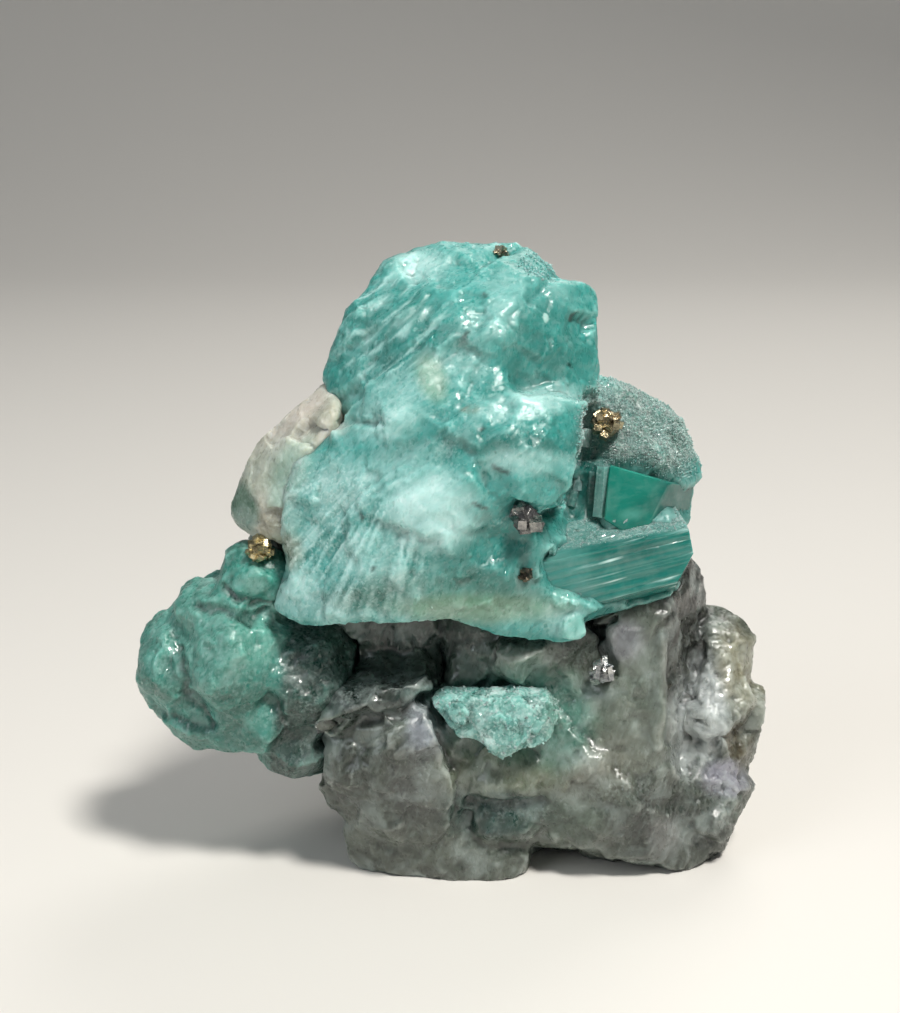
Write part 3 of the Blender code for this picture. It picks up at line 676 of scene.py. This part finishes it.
def set_grains(spots, ways, shades, name, material, low, high, rng):
    """One small crystal on each spot, pointing roughly its way, from this low to this high in width."""
    amount = len(spots)
    one = bmesh.new()
    bmesh.ops.create_cone(one, cap_ends=True, segments=6, radius1=0.5, radius2=0.36, depth=1)
    pattern, _ = mesh_of(one, "one")
    bm = bmesh.new()
    for _ in spots:
        bm.from_mesh(pattern)
    mesh, at = mesh_of(bm, name)
    at = at.reshape(amount, GRAIN_POINTS, 3)
    for index, way in enumerate(ways + rng.normal(0, 0.45, (amount, 3))):
        wide = rng.uniform(low, high)
        turn = Vector(way).to_track_quat("Z", "Y").to_matrix() @ Matrix.Rotation(rng.uniform(0, 3), 3, "Z")
        shape = at[index] * (wide, wide, wide * rng.uniform(0.7, 1.7))
        at[index] = shape @ np.array(turn).T + spots[index]
    shade = np.repeat(shades * rng.uniform(0.8, 1.5, (amount, 1)), GRAIN_POINTS, axis=0)
    marks = {"bloom": np.full(len(shade), 0.4), "sugar": np.full(len(shade), 0.2)}
    hand_over(mesh, at.reshape(-1, 3), name, shade, marks, material)


ROD_SEGMENTS = 240
SIXTH = math.pi / 3


def rod(tail, tip, radius, roll, groove, seed, taper):
    """A six-sided crystal with fine grooves along it, and lines along it where pale highlights are painted.
    """
    along = tip - tail
    bm = bmesh.new()
    bmesh.ops.create_cone(bm, cap_ends=True, segments=ROD_SEGMENTS, radius1=1, radius2=1, depth=1)
    sides = [e for e in bm.edges if abs(e.verts[0].co.z - e.verts[1].co.z) > 0.5]
    bmesh.ops.subdivide_edges(bm, edges=sides, cuts=11, use_grid_fill=True)
    at = np.array([v.co for v in bm.verts])
    turn = np.arctan2(at[:, 1], at[:, 0])
    part = np.mod(turn, SIXTH) - SIXTH / 2
    reach = math.cos(SIXTH / 2) / np.cos(part)
    where = np.stack([turn * radius / 0.3, at[:, 2] * 0.8, 0 * turn], 1)
    reach = radius * reach * (1 + (taper - 1) * (at[:, 2] + 0.5)) + groove * waves(where, 1.0, 2, seed)
    where = np.stack([turn * radius / 0.36, at[:, 2] * 1.6, 0 * turn], 1)
    lines = smooth(waves(where, 1.0, 1, seed + 2) * 5 - 1.6)
    highlight_streak = bm.verts.layers.float.new("highlight_streak")
    for vert, line in zip(bm.verts, lines):
        vert[highlight_streak] = line
    for vert, angle, far in zip(bm.verts, turn, reach):
        vert.co.x, vert.co.y = math.cos(angle) * far, math.sin(angle) * far
        vert.co.z *= along.length
    bmesh.ops.rotate(bm, verts=bm.verts, matrix=Matrix.Rotation(math.radians(roll), 3, "Z"))
    bmesh.ops.rotate(bm, verts=bm.verts, matrix=along.to_track_quat("Z", "Y").to_matrix())
    bmesh.ops.translate(bm, verts=bm.verts, vec=(tail + tip) / 2)
    return bm


def break_off(bm, point, outward):
    """Cuts a shape off flat at a point and closes the cut."""
    geometry = bm.verts[:] + bm.edges[:] + bm.faces[:]
    bmesh.ops.bisect_plane(bm, geom=geometry, dist=1e-6, plane_co=point, plane_no=outward, clear_outer=True)
    bmesh.ops.holes_fill(bm, edges=[e for e in bm.edges if e.is_boundary])


# A crystal's worn edge, and how the edges are bevelled
WORN = 0.12
BEVEL = {"offset_type": "OFFSET", "affect": "EDGES", "profile": 0.5, "material": -1}


def hull(corners):
    """The solid with flat faces that these corners span, its edges a little worn."""
    bm = bmesh.new()
    for corner in corners:
        bm.verts.new(corner)
    made = bmesh.ops.convex_hull(bm, input=bm.verts[:])
    spare = {v for v in made["geom_interior"] + made["geom_unused"] if isinstance(v, bmesh.types.BMVert)}
    bmesh.ops.delete(bm, geom=list(spare), context="VERTS")
    bmesh.ops.bevel(bm, geom=bm.edges[:], offset=WORN, segments=1, **BEVEL)
    return bm


def plate(corners, deep):
    """A thick crystal plate whose front corners are (u, v, distance back) on the front view."""
    points = []
    for at_u, at_v, back in corners:
        way = sight_line(at_u, at_v)
        near = Vector(EYE) + way * ((back - EYE[1]) / way.y)
        points += [near, near + Vector((0, deep, 0))]
    return hull(points)


def frost_edge(at_u):
    """How far down the frost on the prism comes, on the front view."""
    return 552 - 0.17 * (at_u - 560)


def grow_frost(prism):
    """Tiny grains on the prism's upper side, where it meets the crown."""
    prism.normal_update()
    top = BVHTree.FromBMesh(prism)
    rng = np.random.default_rng(64)
    frost = []
    for at_u, at_v in rng.uniform((548, 506), (690, 560), (1500, 2)):
        spot, way, _, _ = top.ray_cast(Vector(EYE), sight_line(at_u, at_v))
        if spot and at_v < frost_edge(at_u) - 3 + rng.normal(0, 1.5):
            frost.append((spot, way))
    shades = np.tile(linear(128, 178, 172), (len(frost), 1))
    spots, ways = np.array([spot for spot, _ in frost]), np.array([way for _, way in frost])
    set_grains(spots, ways, shades, "prism_frost", EMERALD, 0.06, 0.15, rng)


def grow_crevice_prisms(find):
    """Small prisms that stand in the crevice beside the crown."""
    small = bmesh.new()
    shades = []
    for ends, radius, colour in (
        ([(585, 447), (587, 428)], 0.5, (176, 206, 200)), ([(577, 490), (580, 463)], 0.45, (128, 168, 166)),
        ([(600, 516), (603, 464)], 0.8, (112, 164, 158)), ([(591, 502), (593, 472)], 0.5, (80, 130, 124)),
        ([(571, 506), (575, 490)], 0.45, (70, 124, 118)),
    ):
        low, high = find(*ends[0]), find(*ends[1])
        if low is None or high is None:
            continue
        near = min(low.y, high.y)
        low, high = Vector((low.x, near, low.z)), Vector((high.x, near + 0.3, high.z))
        mesh, at = mesh_of(rod(low, high, radius, 10, 0.02, 9, 0.9), "one")
        small.from_mesh(mesh)
        shades += [linear(*colour)] * len(at)
    mesh, at = mesh_of(small, "crevice_prisms")
    marks = {"bloom": np.full(len(at), 0.3), "sugar": np.full(len(at), 0.4), "broken": np.full(len(at), 0.6)}
    hand_over(mesh, at, "crevice_prisms", np.array(shades), marks, GLASSY)


def grow_crystals(skin):
    """The clear prism, the glassy crystal above it and the small prisms in the crevice."""
    find = sight(skin)
    tail, tip = Vector((6.4, -7.0, 28.7)), Vector((21.0, -3.9, 31.4))
    prism = rod(tail, tip, 4.75, 22, 0.045, 3, 0.92)
    out = Vector((0.86, -0.28, -0.42)).normalized()
    break_off(prism, tip + out * 1.45, out)
    glassy = hull([
        (14.2, -6.0, 39.6), (19.7, -5.6, 37.9), (22.4, -1.6, 36.6), (21.7, -2.3, 32.4), (17.0, -6.8, 32.6),
        (13.7, -7.2, 34.9), (15.0, 3.0, 38.0), (21.0, 3.0, 36.0), (20.0, 3.0, 31.0), (14.0, 2.0, 32.0),
    ])
    grow_frost(prism)
    bmesh.ops.subdivide_edges(glassy, edges=glassy.edges[:], cuts=9, use_grid_fill=True)
    for name, bm, base in (
        ("prism_crystal", prism, (34, 130, 120)), ("glassy_crystal", glassy, (30, 142, 126)),
    ):
        mesh, at = mesh_of(bm, name)
        u, v = seen(at)
        frosted = np.zeros(len(at))
        p = Paint(len(at), base)
        p.coat((16, 86, 80), smooth(waves(at, 3.0, 2, 5)) * 0.5)
        p.coat((110, 186, 172), patch(u, v, 632, 514, 12, 5, 0, 1.0) * 0.6)
        # Painted shade on the face to the right of the glassy crystal's bright front
        p.coat((24, 96, 90), smooth((u - 652) / 16) * smooth((520 - v) / 10) * 0.7)
        if "highlight_streak" in mesh.attributes:
            lines = np.empty(len(at))
            mesh.attributes["highlight_streak"].data.foreach_get("value", lines)
            frosted = smooth((frost_edge(u) - v) / 5)
            # Painted highlights along the prism's striations
            p.coat((214, 246, 242), lines * smooth(waves(at, 1.6, 2, 6) * 2 + 0.5) * smooth((u - 566) / 40))
            p.coat((78, 152, 144), smooth((606 - u) / 44) * 0.8)
            p.coat((120, 172, 166), frosted * 0.8)
        marks = {"bloom": np.full(len(at), 0.1), "sugar": frosted}
        hand_over(mesh, at, name, p.tint, marks, GLASSY)
    grow_crevice_prisms(find)


def grow_lobe():
    """The lumpy green lobe at the lower left."""
    s = Skin("emerald_lobe", 0.2, 14, 0.1)
    u, v, f = s.u, s.v, s.front
    s.flatten(2.6, 0.6, 33)
    s.flatten(1.3, 0.35, 37, 0.15)
    s.soften(2)
    near = cells(s.at, 2.8, 70)[0]
    left = 1 - patch(u, v, 285, 650, 60, 90, 0, 0.8) * f
    wander_u, wander_v = u + waves(s.at, 1.2, 2, 75) * 4, v + waves(s.at, 1.2, 2, 76) * 4
    crease = strokes(wander_u, wander_v, (
        (1.0, 9, [(196, 606), (228, 610), (250, 622), (268, 612)]),
        (1.0, 8, [(228, 590), (250, 602), (276, 604)]),
        (1.0, 9, [(180, 650), (186, 690), (214, 726)]),
    ))
    height = (0.34 * np.sqrt(np.clip(1 - (near / 2.2) ** 2, 0, 1)) - 0.2) * left
    height += waves(s.at, 1.6, 2, 71) * 0.1 + chips(s.at, 0.9, 72) * 0.08 - 0.45 * crease * f
    s.push(height)
    p = Paint(s.count, (56, 122, 110))
    mid, fine = waves(s.at, 2.4, 3, 73), waves(s.at, 0.8, 2, 74)
    p.coat((96, 166, 154), smooth(mid + 0.1) * 0.5)
    p.coat((40, 104, 90), smooth(-mid) * 0.5)
    # Painted shadow: the crown's shadow cast on the lobe's right part, right of a line that slopes down to
    # the left
    shade = smooth((u - 284 + (v - 611) * 0.16) / 16) * smooth((v - 596) / 16)
    p.coat((20, 56, 46), shade * f * 0.95)
    p.coat((120, 178, 166), patch(u, v, 205, 640, 40, 46, 0, 1.1) * f * 0.35)
    p.coat((62, 150, 136), patch(u, v, 252, 584, 34, 24, 0, 1.0) * f * 0.6)
    p.coat((110, 176, 162), patch(u, v, 256, 640, 22, 30, -20, 1.0) * f * 0.5)
    # Painted shade in the creases
    p.coat((22, 56, 50), crease * f * 0.45)
    hollow = s.hollow(12)
    # Painted shade in the hollows; the edges are paler
    p.coat((20, 66, 56), smooth(hollow * 5 - 0.1) * 0.6)
    p.coat((140, 200, 188), smooth(-hollow * 5 - 0.1) * 0.3)
    bloom, sugar = smooth(mid) * 0.3, 0.2 + 0.3 * smooth(fine)
    marks = {"bloom": bloom, "sugar": sugar, "broken": np.full(s.count, 0.8)}
    s.finish("emerald_lobe_crystal", p.tint, marks, EMERALD, ["emerald_lobe"])


# The nest's flat plates: front corners as (u, v, distance back)
NEST_PLATES = (
    [(432, 704, -9.8), (446, 697, -10.2), (470, 699, -11.0), (482, 716, -11.4), (476, 735, -11.2),
     (466, 739, -10.8), (450, 727, -10.5)],
    [(464, 698, -10.8), (520, 698, -11.2), (536, 712, -11.7), (528, 741, -11.9), (508, 757, -11.7),
     (493, 752, -11.8), (480, 730, -11.6)],
    [(516, 700, -10.8), (548, 697, -10.2), (560, 714, -10.4), (550, 738, -10.9), (530, 750, -11.3),
     (520, 733, -11.5)],
    [(474, 724, -11.4), (500, 714, -12.0), (518, 722, -12.1), (520, 748, -12.0), (502, 760, -11.7),
     (488, 748, -11.6)],
    [(444, 706, -10.9), (462, 703, -11.4), (470, 714, -11.7), (464, 728, -11.5), (452, 722, -11.1)],
    [(524, 706, -11.5), (544, 704, -11.1), (548, 718, -11.3), (538, 734, -11.6), (526, 728, -11.8)],
)


def grow_nest():
    """The small pocket of green crystal plates low in the quartz."""
    extra = [mesh_of(plate(corners, 3.0), "plate")[0] for corners in NEST_PLATES]
    s = Skin("emerald_nest", 0.1, 3, 0.0, extra)
    s.push(chips(s.at, 0.8, 80) * 0.14 + chips(s.at, 0.35, 81) * 0.04 + waves(s.at, 1.4, 2, 82) * 0.08)
    p = Paint(s.count, (122, 178, 170))
    mid, hollow = waves(s.at, 1.2, 3, 83), s.hollow(10)
    facet = cells(s.at, 1.3, 85)[2][:, 0]
    p.coat((206, 232, 228), smooth(mid) * 0.7)
    p.coat((36, 104, 96), smooth(facet * 3 - 1.9) * 0.7)
    # Painted shade in the hollows
    p.coat((50, 110, 98), smooth(hollow * 8 - 0.1) * 0.6)
    p.coat((60, 122, 104), smooth((s.v - 738) / 20) * 0.5)
    p.coat((96, 140, 124), smooth((s.u - 536) / 20) * 0.7)
    bloom, sugar = smooth(mid) * 0.6, np.full(s.count, 0.8)
    grow_grains(s, p.tint, "nest_grains", EMERALD, s.front + 0.01, 260, 0.12, 0.3, 84)
    marks = {"bloom": bloom, "sugar": sugar, "broken": np.ones(s.count)}
    s.finish("emerald_nest_crystal", p.tint, marks, EMERALD, ["emerald_nest"])


def grow_rind():
    """The pale blade behind the crown's left edge."""
    s = Skin("calcite_rind", 0.18, 18, 0.3)
    s.flatten(2.6, 0.5, 38)
    u, v, f = s.u, s.v, s.front
    seam = stroke(u, v, SEAM, SEAM_WIDTH)
    s.push(waves(s.at, 3.0, 3, 90) * 0.12 + chips(s.at, 0.8, 91) * 0.04 + 0.4 * seam)
    p = Paint(s.count, (178, 180, 166))
    mid, fine = waves(s.at, 2.2, 3, 92), waves(s.at, 0.7, 2, 93)
    p.coat((172, 166, 150), smooth(mid) * 0.6)
    p.coat((226, 222, 212), smooth(-mid) * 0.5)
    p.coat((150, 186, 174), patch(u, v, 292, 486, 24, 50, 0, 1.0) * 0.75)
    p.coat((206, 196, 188), stroke(u, v, [(318, 400), (290, 424), (262, 462), (254, 492)], 20) * 0.6)
    p.coat((130, 122, 104), patch(u, v, 272, 520, 16, 12, 0, 0.9) * 0.6)
    p.coat((42, 96, 76), patch(u, v, 243, 507, 15, 26, 10, 0.7) * 0.9 * f)
    p.coat((120, 150, 130), patch(u, v, 262, 470, 16, 30, -30, 1.0) * 0.4)
    # Painted shade in the hollows
    p.coat((120, 112, 96), smooth(s.hollow(12) * 6 - 0.1) * 0.5)
    bloom, sugar = smooth(fine) * 0.3, np.full(s.count, 0.25)
    marks = {"bloom": bloom, "sugar": sugar, "broken": np.full(s.count, 0.5)}
    s.finish("calcite_rind_crust", p.tint, marks, CALCITE, ["calcite_rind"])


def grow_quartz():
    """The smoky quartz that carries it all, with its tall column and the weathered bulge at the right."""
    s = Skin("quartz_matrix", 0.29, 9, 0.1)
    u, v, f = s.u, s.v, s.front
    column = patch(u, v, 640, 690, 34, 74, 0, 0.4) * f
    bulge = patch(u, v, 715, 730, 46, 110, 0, 0.5) * f
    calm = np.clip(column * 0.8, 0, 1)

    # Broken facets, with pits and fine lines on the bulge
    s.flatten(3.6, 0.7, 35)
    s.push(waves(s.at, 5.0, 2, 100) * 0.25 * (1 - calm))
    s.flatten(1.9, 0.4, 36, 0.15)
    s.soften(1)
    height = chips(s.at, 2.0, 101) * 0.2 * (1 - calm)
    height += chips(s.at, 0.75, 102) * (0.05 + 0.1 * bulge) * (1 - calm)
    pitted, _, luck = cells(s.at, 1.5, 103)
    height -= 0.5 * smooth(1 - pitted / 0.75) * (luck[:, 0] > 0.5) * bulge
    height += waves(np.stack([u / 5, v / 40, 0 * u], 1), 1.0, 2, 104) * 0.1 * bulge

    # The column's edge and the fin below the recess stand out, and grooves run between the forms
    height += 0.4 * stroke(u, v, [(664, 618), (661, 690), (655, 745)], 9) * f
    height += 0.45 * stroke(u, v, [(421, 712), (436, 745), (452, 778)], 9) * f
    groove = strokes(u, v, (
        (1.0, 10, [(305, 735), (350, 722), (400, 716), (428, 698)]),
        (0.5, 7, [(668, 632), (672, 690), (668, 742)]),
        (0.9, 9, [(703, 618), (698, 668), (682, 712)]),
        (0.7, 6, [(428, 712), (446, 752), (454, 780)]),
        (0.8, 10, [(470, 800), (500, 806), (540, 800)]),
    ))
    s.push(height - 0.8 * groove * f)

    # The relief is held back behind the CAD's back, and the flat break stays on the ground
    back = CAD_BOX[1][1] * MILLIMETRES + MIDDLE[1]
    s.at[:, 1] -= 0.7 * np.clip(s.at[:, 1] - back, 0, None)
    flat = s.at[:, 2] < 0.15
    s.at[:, 2] = np.where(flat, np.maximum(s.at[:, 2], 0.02), s.at[:, 2])

    # Smoky greys, with stains, pale cleaved faces, green where beryl shows through, and painted light and
    # shade
    p = Paint(s.count, (86, 94, 84))
    big, mid = waves(s.at, 6.0, 3, 110), waves(s.at, 2.2, 3, 111)
    hollow = s.hollow(12)
    p.coat((74, 78, 70), smooth(big + 0.1) * 0.5)
    p.coat((128, 134, 126), smooth(-big * 0.7 + mid * 0.4) * 0.4)
    for colour, *shape, amount in (
        # Painted shadow in the recess under the crown's overhang, and on the green wall beside the lobe
        ((40, 58, 54), 400, 648, 100, 34, 0, 0.85), ((28, 62, 50), 326, 660, 40, 70, 0, 0.95),
        # Painted shadow further right in the recess; then the dark smoky ledge
        ((66, 78, 70), 520, 640, 80, 24, 0, 0.6), ((28, 42, 38), 365, 698, 76, 26, 8, 0.9),
        # Painted highlight: the fin's lit left side, bluish grey
        ((150, 154, 164), 428, 726, 20, 34, -15, 0.7), ((54, 62, 53), 365, 780, 66, 46, -20, 0.8),
        ((46, 72, 62), 316, 726, 34, 24, 0, 0.8), ((104, 106, 104), 420, 790, 34, 34, 0, 0.4),
        ((118, 126, 104), 505, 770, 62, 26, 0, 0.6), ((142, 140, 126), 590, 740, 60, 46, 0, 0.5),
        ((16, 60, 54), 500, 812, 54, 24, 0, 0.95), ((104, 114, 104), 636, 690, 34, 70, 0, 0.8),
        # Painted shade, over a brownish tone, on the column's right side face: the second entry here and the
        # first on the next line
        ((150, 146, 160), 622, 640, 22, 20, 0, 0.4), ((22, 21, 14), 688, 596, 25, 68, 0, 1.0),
        # Painted shade on the column's side again, then the bulge's pale grey face, made paler as painted
        # light where it is lit
        ((28, 30, 22), 684, 664, 21, 56, 0, 1.0), ((186, 192, 192), 702, 712, 26, 60, -12, 0.9),
        ((142, 138, 114), 738, 670, 20, 44, 14, 0.8), ((80, 72, 48), 738, 742, 13, 24, 0, 0.9),
        ((176, 174, 190), 722, 778, 20, 18, 0, 0.6), ((46, 54, 47), 672, 828, 60, 44, 0, 0.8),
        ((150, 152, 150), 664, 836, 16, 20, 0, 0.5), ((90, 110, 96), 500, 668, 60, 18, 0, 0.5),
        ((170, 172, 166), 518, 664, 30, 14, 0, 0.55), ((58, 118, 100), 520, 716, 74, 44, 0, 0.75),
        ((80, 100, 84), 560, 820, 40, 20, 0, 0.4), ((70, 128, 116), 558, 722, 30, 44, 0, 0.7),
        ((28, 84, 74), 474, 694, 64, 12, 0, 0.8),
    ):
        p.coat(colour, patch(u, v, *shape, 0.9) * amount * f * (0.95 + 0.25 * mid))
    p.coat((120, 104, 72), smooth(waves(s.at, 3.2, 3, 113) * 1.4 - 0.5) * bulge * 0.6)
    # Painted shade in the hollows; the edges are paler
    p.coat((40, 42, 38), smooth(hollow * 4 - 0.1) * 0.5)
    p.coat((176, 180, 176), smooth(-hollow * 4 - 0.2) * 0.3)

    bloom = smooth(mid - 0.1) * 0.35
    sugar = 0.15 * smooth(mid) + 0.35 * bulge
    for shape in (
        (352, 694, 26, 14), (406, 714, 20, 10), (396, 684, 34, 8), (560, 706, 24, 20), (700, 690, 24, 40),
        (720, 786, 18, 16), (576, 655, 22, 14), (520, 812, 36, 12), (628, 790, 40, 16), (424, 760, 10, 24),
    ):
        sugar = np.maximum(sugar, patch(u, v, *shape, 0, 1.0) * f)
    marks = {"bloom": bloom, "sugar": sugar, "broken": 0.3 + 0.5 * bulge + 0.4 * smooth(mid) - 0.3 * column}
    s.finish("quartz_matrix_rock", p.tint, marks, QUARTZ, ["quartz_matrix"])


def grow_pyrite(node, tint, cubes, least, most, drawn=1.0):
    """The CAD's cubes with worn edges and finer cubes grown on them, drawn out by this much."""
    low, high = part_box(node)
    centre, spread = (low + high) / 2, (high - low).length / 2
    rng = np.random.default_rng(sum(map(ord, node)))
    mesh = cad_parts[node].data.copy()
    bm = bmesh.new()
    bm.from_mesh(mesh)
    bmesh.ops.remove_doubles(bm, verts=bm.verts, dist=2e-6)
    bmesh.ops.dissolve_limit(bm, angle_limit=0.02, verts=bm.verts, edges=bm.edges)
    for _ in range(cubes):
        side = float(spread * rng.uniform(least, most))
        made = bmesh.ops.create_cube(bm, size=side)["verts"]
        bmesh.ops.scale(bm, verts=made, vec=(1, 1, drawn))
        out = Vector(rng.normal(0, 1, 3)).normalized()
        turn = Matrix.Rotation(rng.uniform(0, 3), 3, Vector(rng.normal(0, 1, 3)).normalized())
        bmesh.ops.rotate(bm, verts=made, matrix=turn)
        bmesh.ops.translate(bm, verts=made, vec=centre + out * spread * rng.uniform(0.3, 0.62))
    bm.to_mesh(mesh)
    bm.free()
    store_tint(mesh, np.tile([*linear(*tint), 1.0], (len(mesh.vertices), 1)))
    mesh.materials.clear()
    mesh.materials.append(PYRITE)
    piece = put_in_scene(node + "_knot", mesh)
    edges = piece.modifiers.new("worn edges", "BEVEL")
    edges.width = 0.03 * METRES
    edges.segments = 1
    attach(piece, "root")
    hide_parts(node)


def studio():
    """A pale floor that curves up behind, soft light and the camera."""
    floor = bpy.data.meshes.new("floor")
    bm = bmesh.new()
    bmesh.ops.create_grid(bm, x_segments=1, y_segments=1, size=1.5)
    far = [e for e in bm.edges if min(v.co.y for v in e.verts) > 1]
    bmesh.ops.translate(bm, verts=far[0].verts, vec=(0, -0.6, 0))
    wall = bmesh.ops.extrude_edge_only(bm, edges=far)["geom"]
    bmesh.ops.translate(bm, verts=[v for v in wall if isinstance(v, bmesh.types.BMVert)], vec=(0, 0, 1.4))
    bmesh.ops.bevel(bm, geom=far, offset=0.5, segments=24, **BEVEL)
    for face in bm.faces:
        face.smooth = True
    bm.to_mesh(floor)
    bm.free()
    ground = put_in_scene("floor", floor)
    n = Nodes("studio_floor")
    n.set(n.shader, Base_Color=(0.72, 0.70, 0.66, 1.0), Roughness=0.8)
    floor.materials.append(n.material)
    world = bpy.data.worlds.new("studio")
    bpy.context.scene.world = world
    world.use_nodes = True
    sky = world.node_tree.nodes["Background"]
    sky.inputs["Color"].default_value = (0.86, 0.90, 0.95, 1.0)
    sky.inputs["Strength"].default_value = 0.17

    # Each light's turn from the front and rise in degrees, its distance and size in metres, and its watts
    for name, turn, rise, far, size, power, colour in (
        ("key", 30, 56, 0.45, 0.08, 2.4, (1.0, 0.97, 0.92)),
        ("fill", -50, 30, 0.6, 0.35, 0.9, (0.9, 0.95, 1.0)),
        ("rim", 155, 45, 0.5, 0.25, 0.7, (1.0, 0.97, 0.93)),
    ):
        lamp = bpy.data.lights.new(name, "AREA")
        lamp.size, lamp.energy, lamp.color = size, power, colour
        a, e = math.radians(turn), math.radians(rise)
        way = Vector((math.sin(a) * math.cos(e), -math.cos(a) * math.cos(e), math.sin(e)))
        light = put_in_scene(name, lamp)
        light.location = Vector((0, 0, 0.03)) + way * far
        light.rotation_euler = (-way).to_track_quat("-Z", "Y").to_euler()

    camera = bpy.data.cameras.new("camera")
    camera.sensor_width = 36.0
    camera.lens = FOCAL / (2 * HALF_HEIGHT) * camera.sensor_width
    camera.clip_start = 0.01
    eye = put_in_scene("camera", camera)
    eye.location = (EYE - MIDDLE) * METRES
    eye.rotation_euler = (math.pi / 2 - TILT, 0, 0)
    bpy.context.scene.camera = eye
    bpy.context.scene.view_settings.view_transform = "Standard"


grow_mass()
grow_lobe()
grow_nest()
grow_rind()
grow_quartz()

# The knots: the colour, the number of finer cubes, their least and most size, and how far they are drawn out
for node, *shape in (
    ("pyrite_left", (222, 208, 166), 44, 0.14, 0.32), ("pyrite_right", (196, 182, 150), 44, 0.14, 0.32),
    ("pyrite_front", (168, 166, 162), 12, 0.3, 0.5), ("pyrite_hollow", (220, 220, 218), 16, 0.14, 0.24, 3.0),
    ("pyrite_summit", (180, 170, 148), 24, 0.16, 0.4), ("pyrite_speck", (110, 102, 88), 14, 0.2, 0.45),
):
    grow_pyrite(node, *shape)
studio()
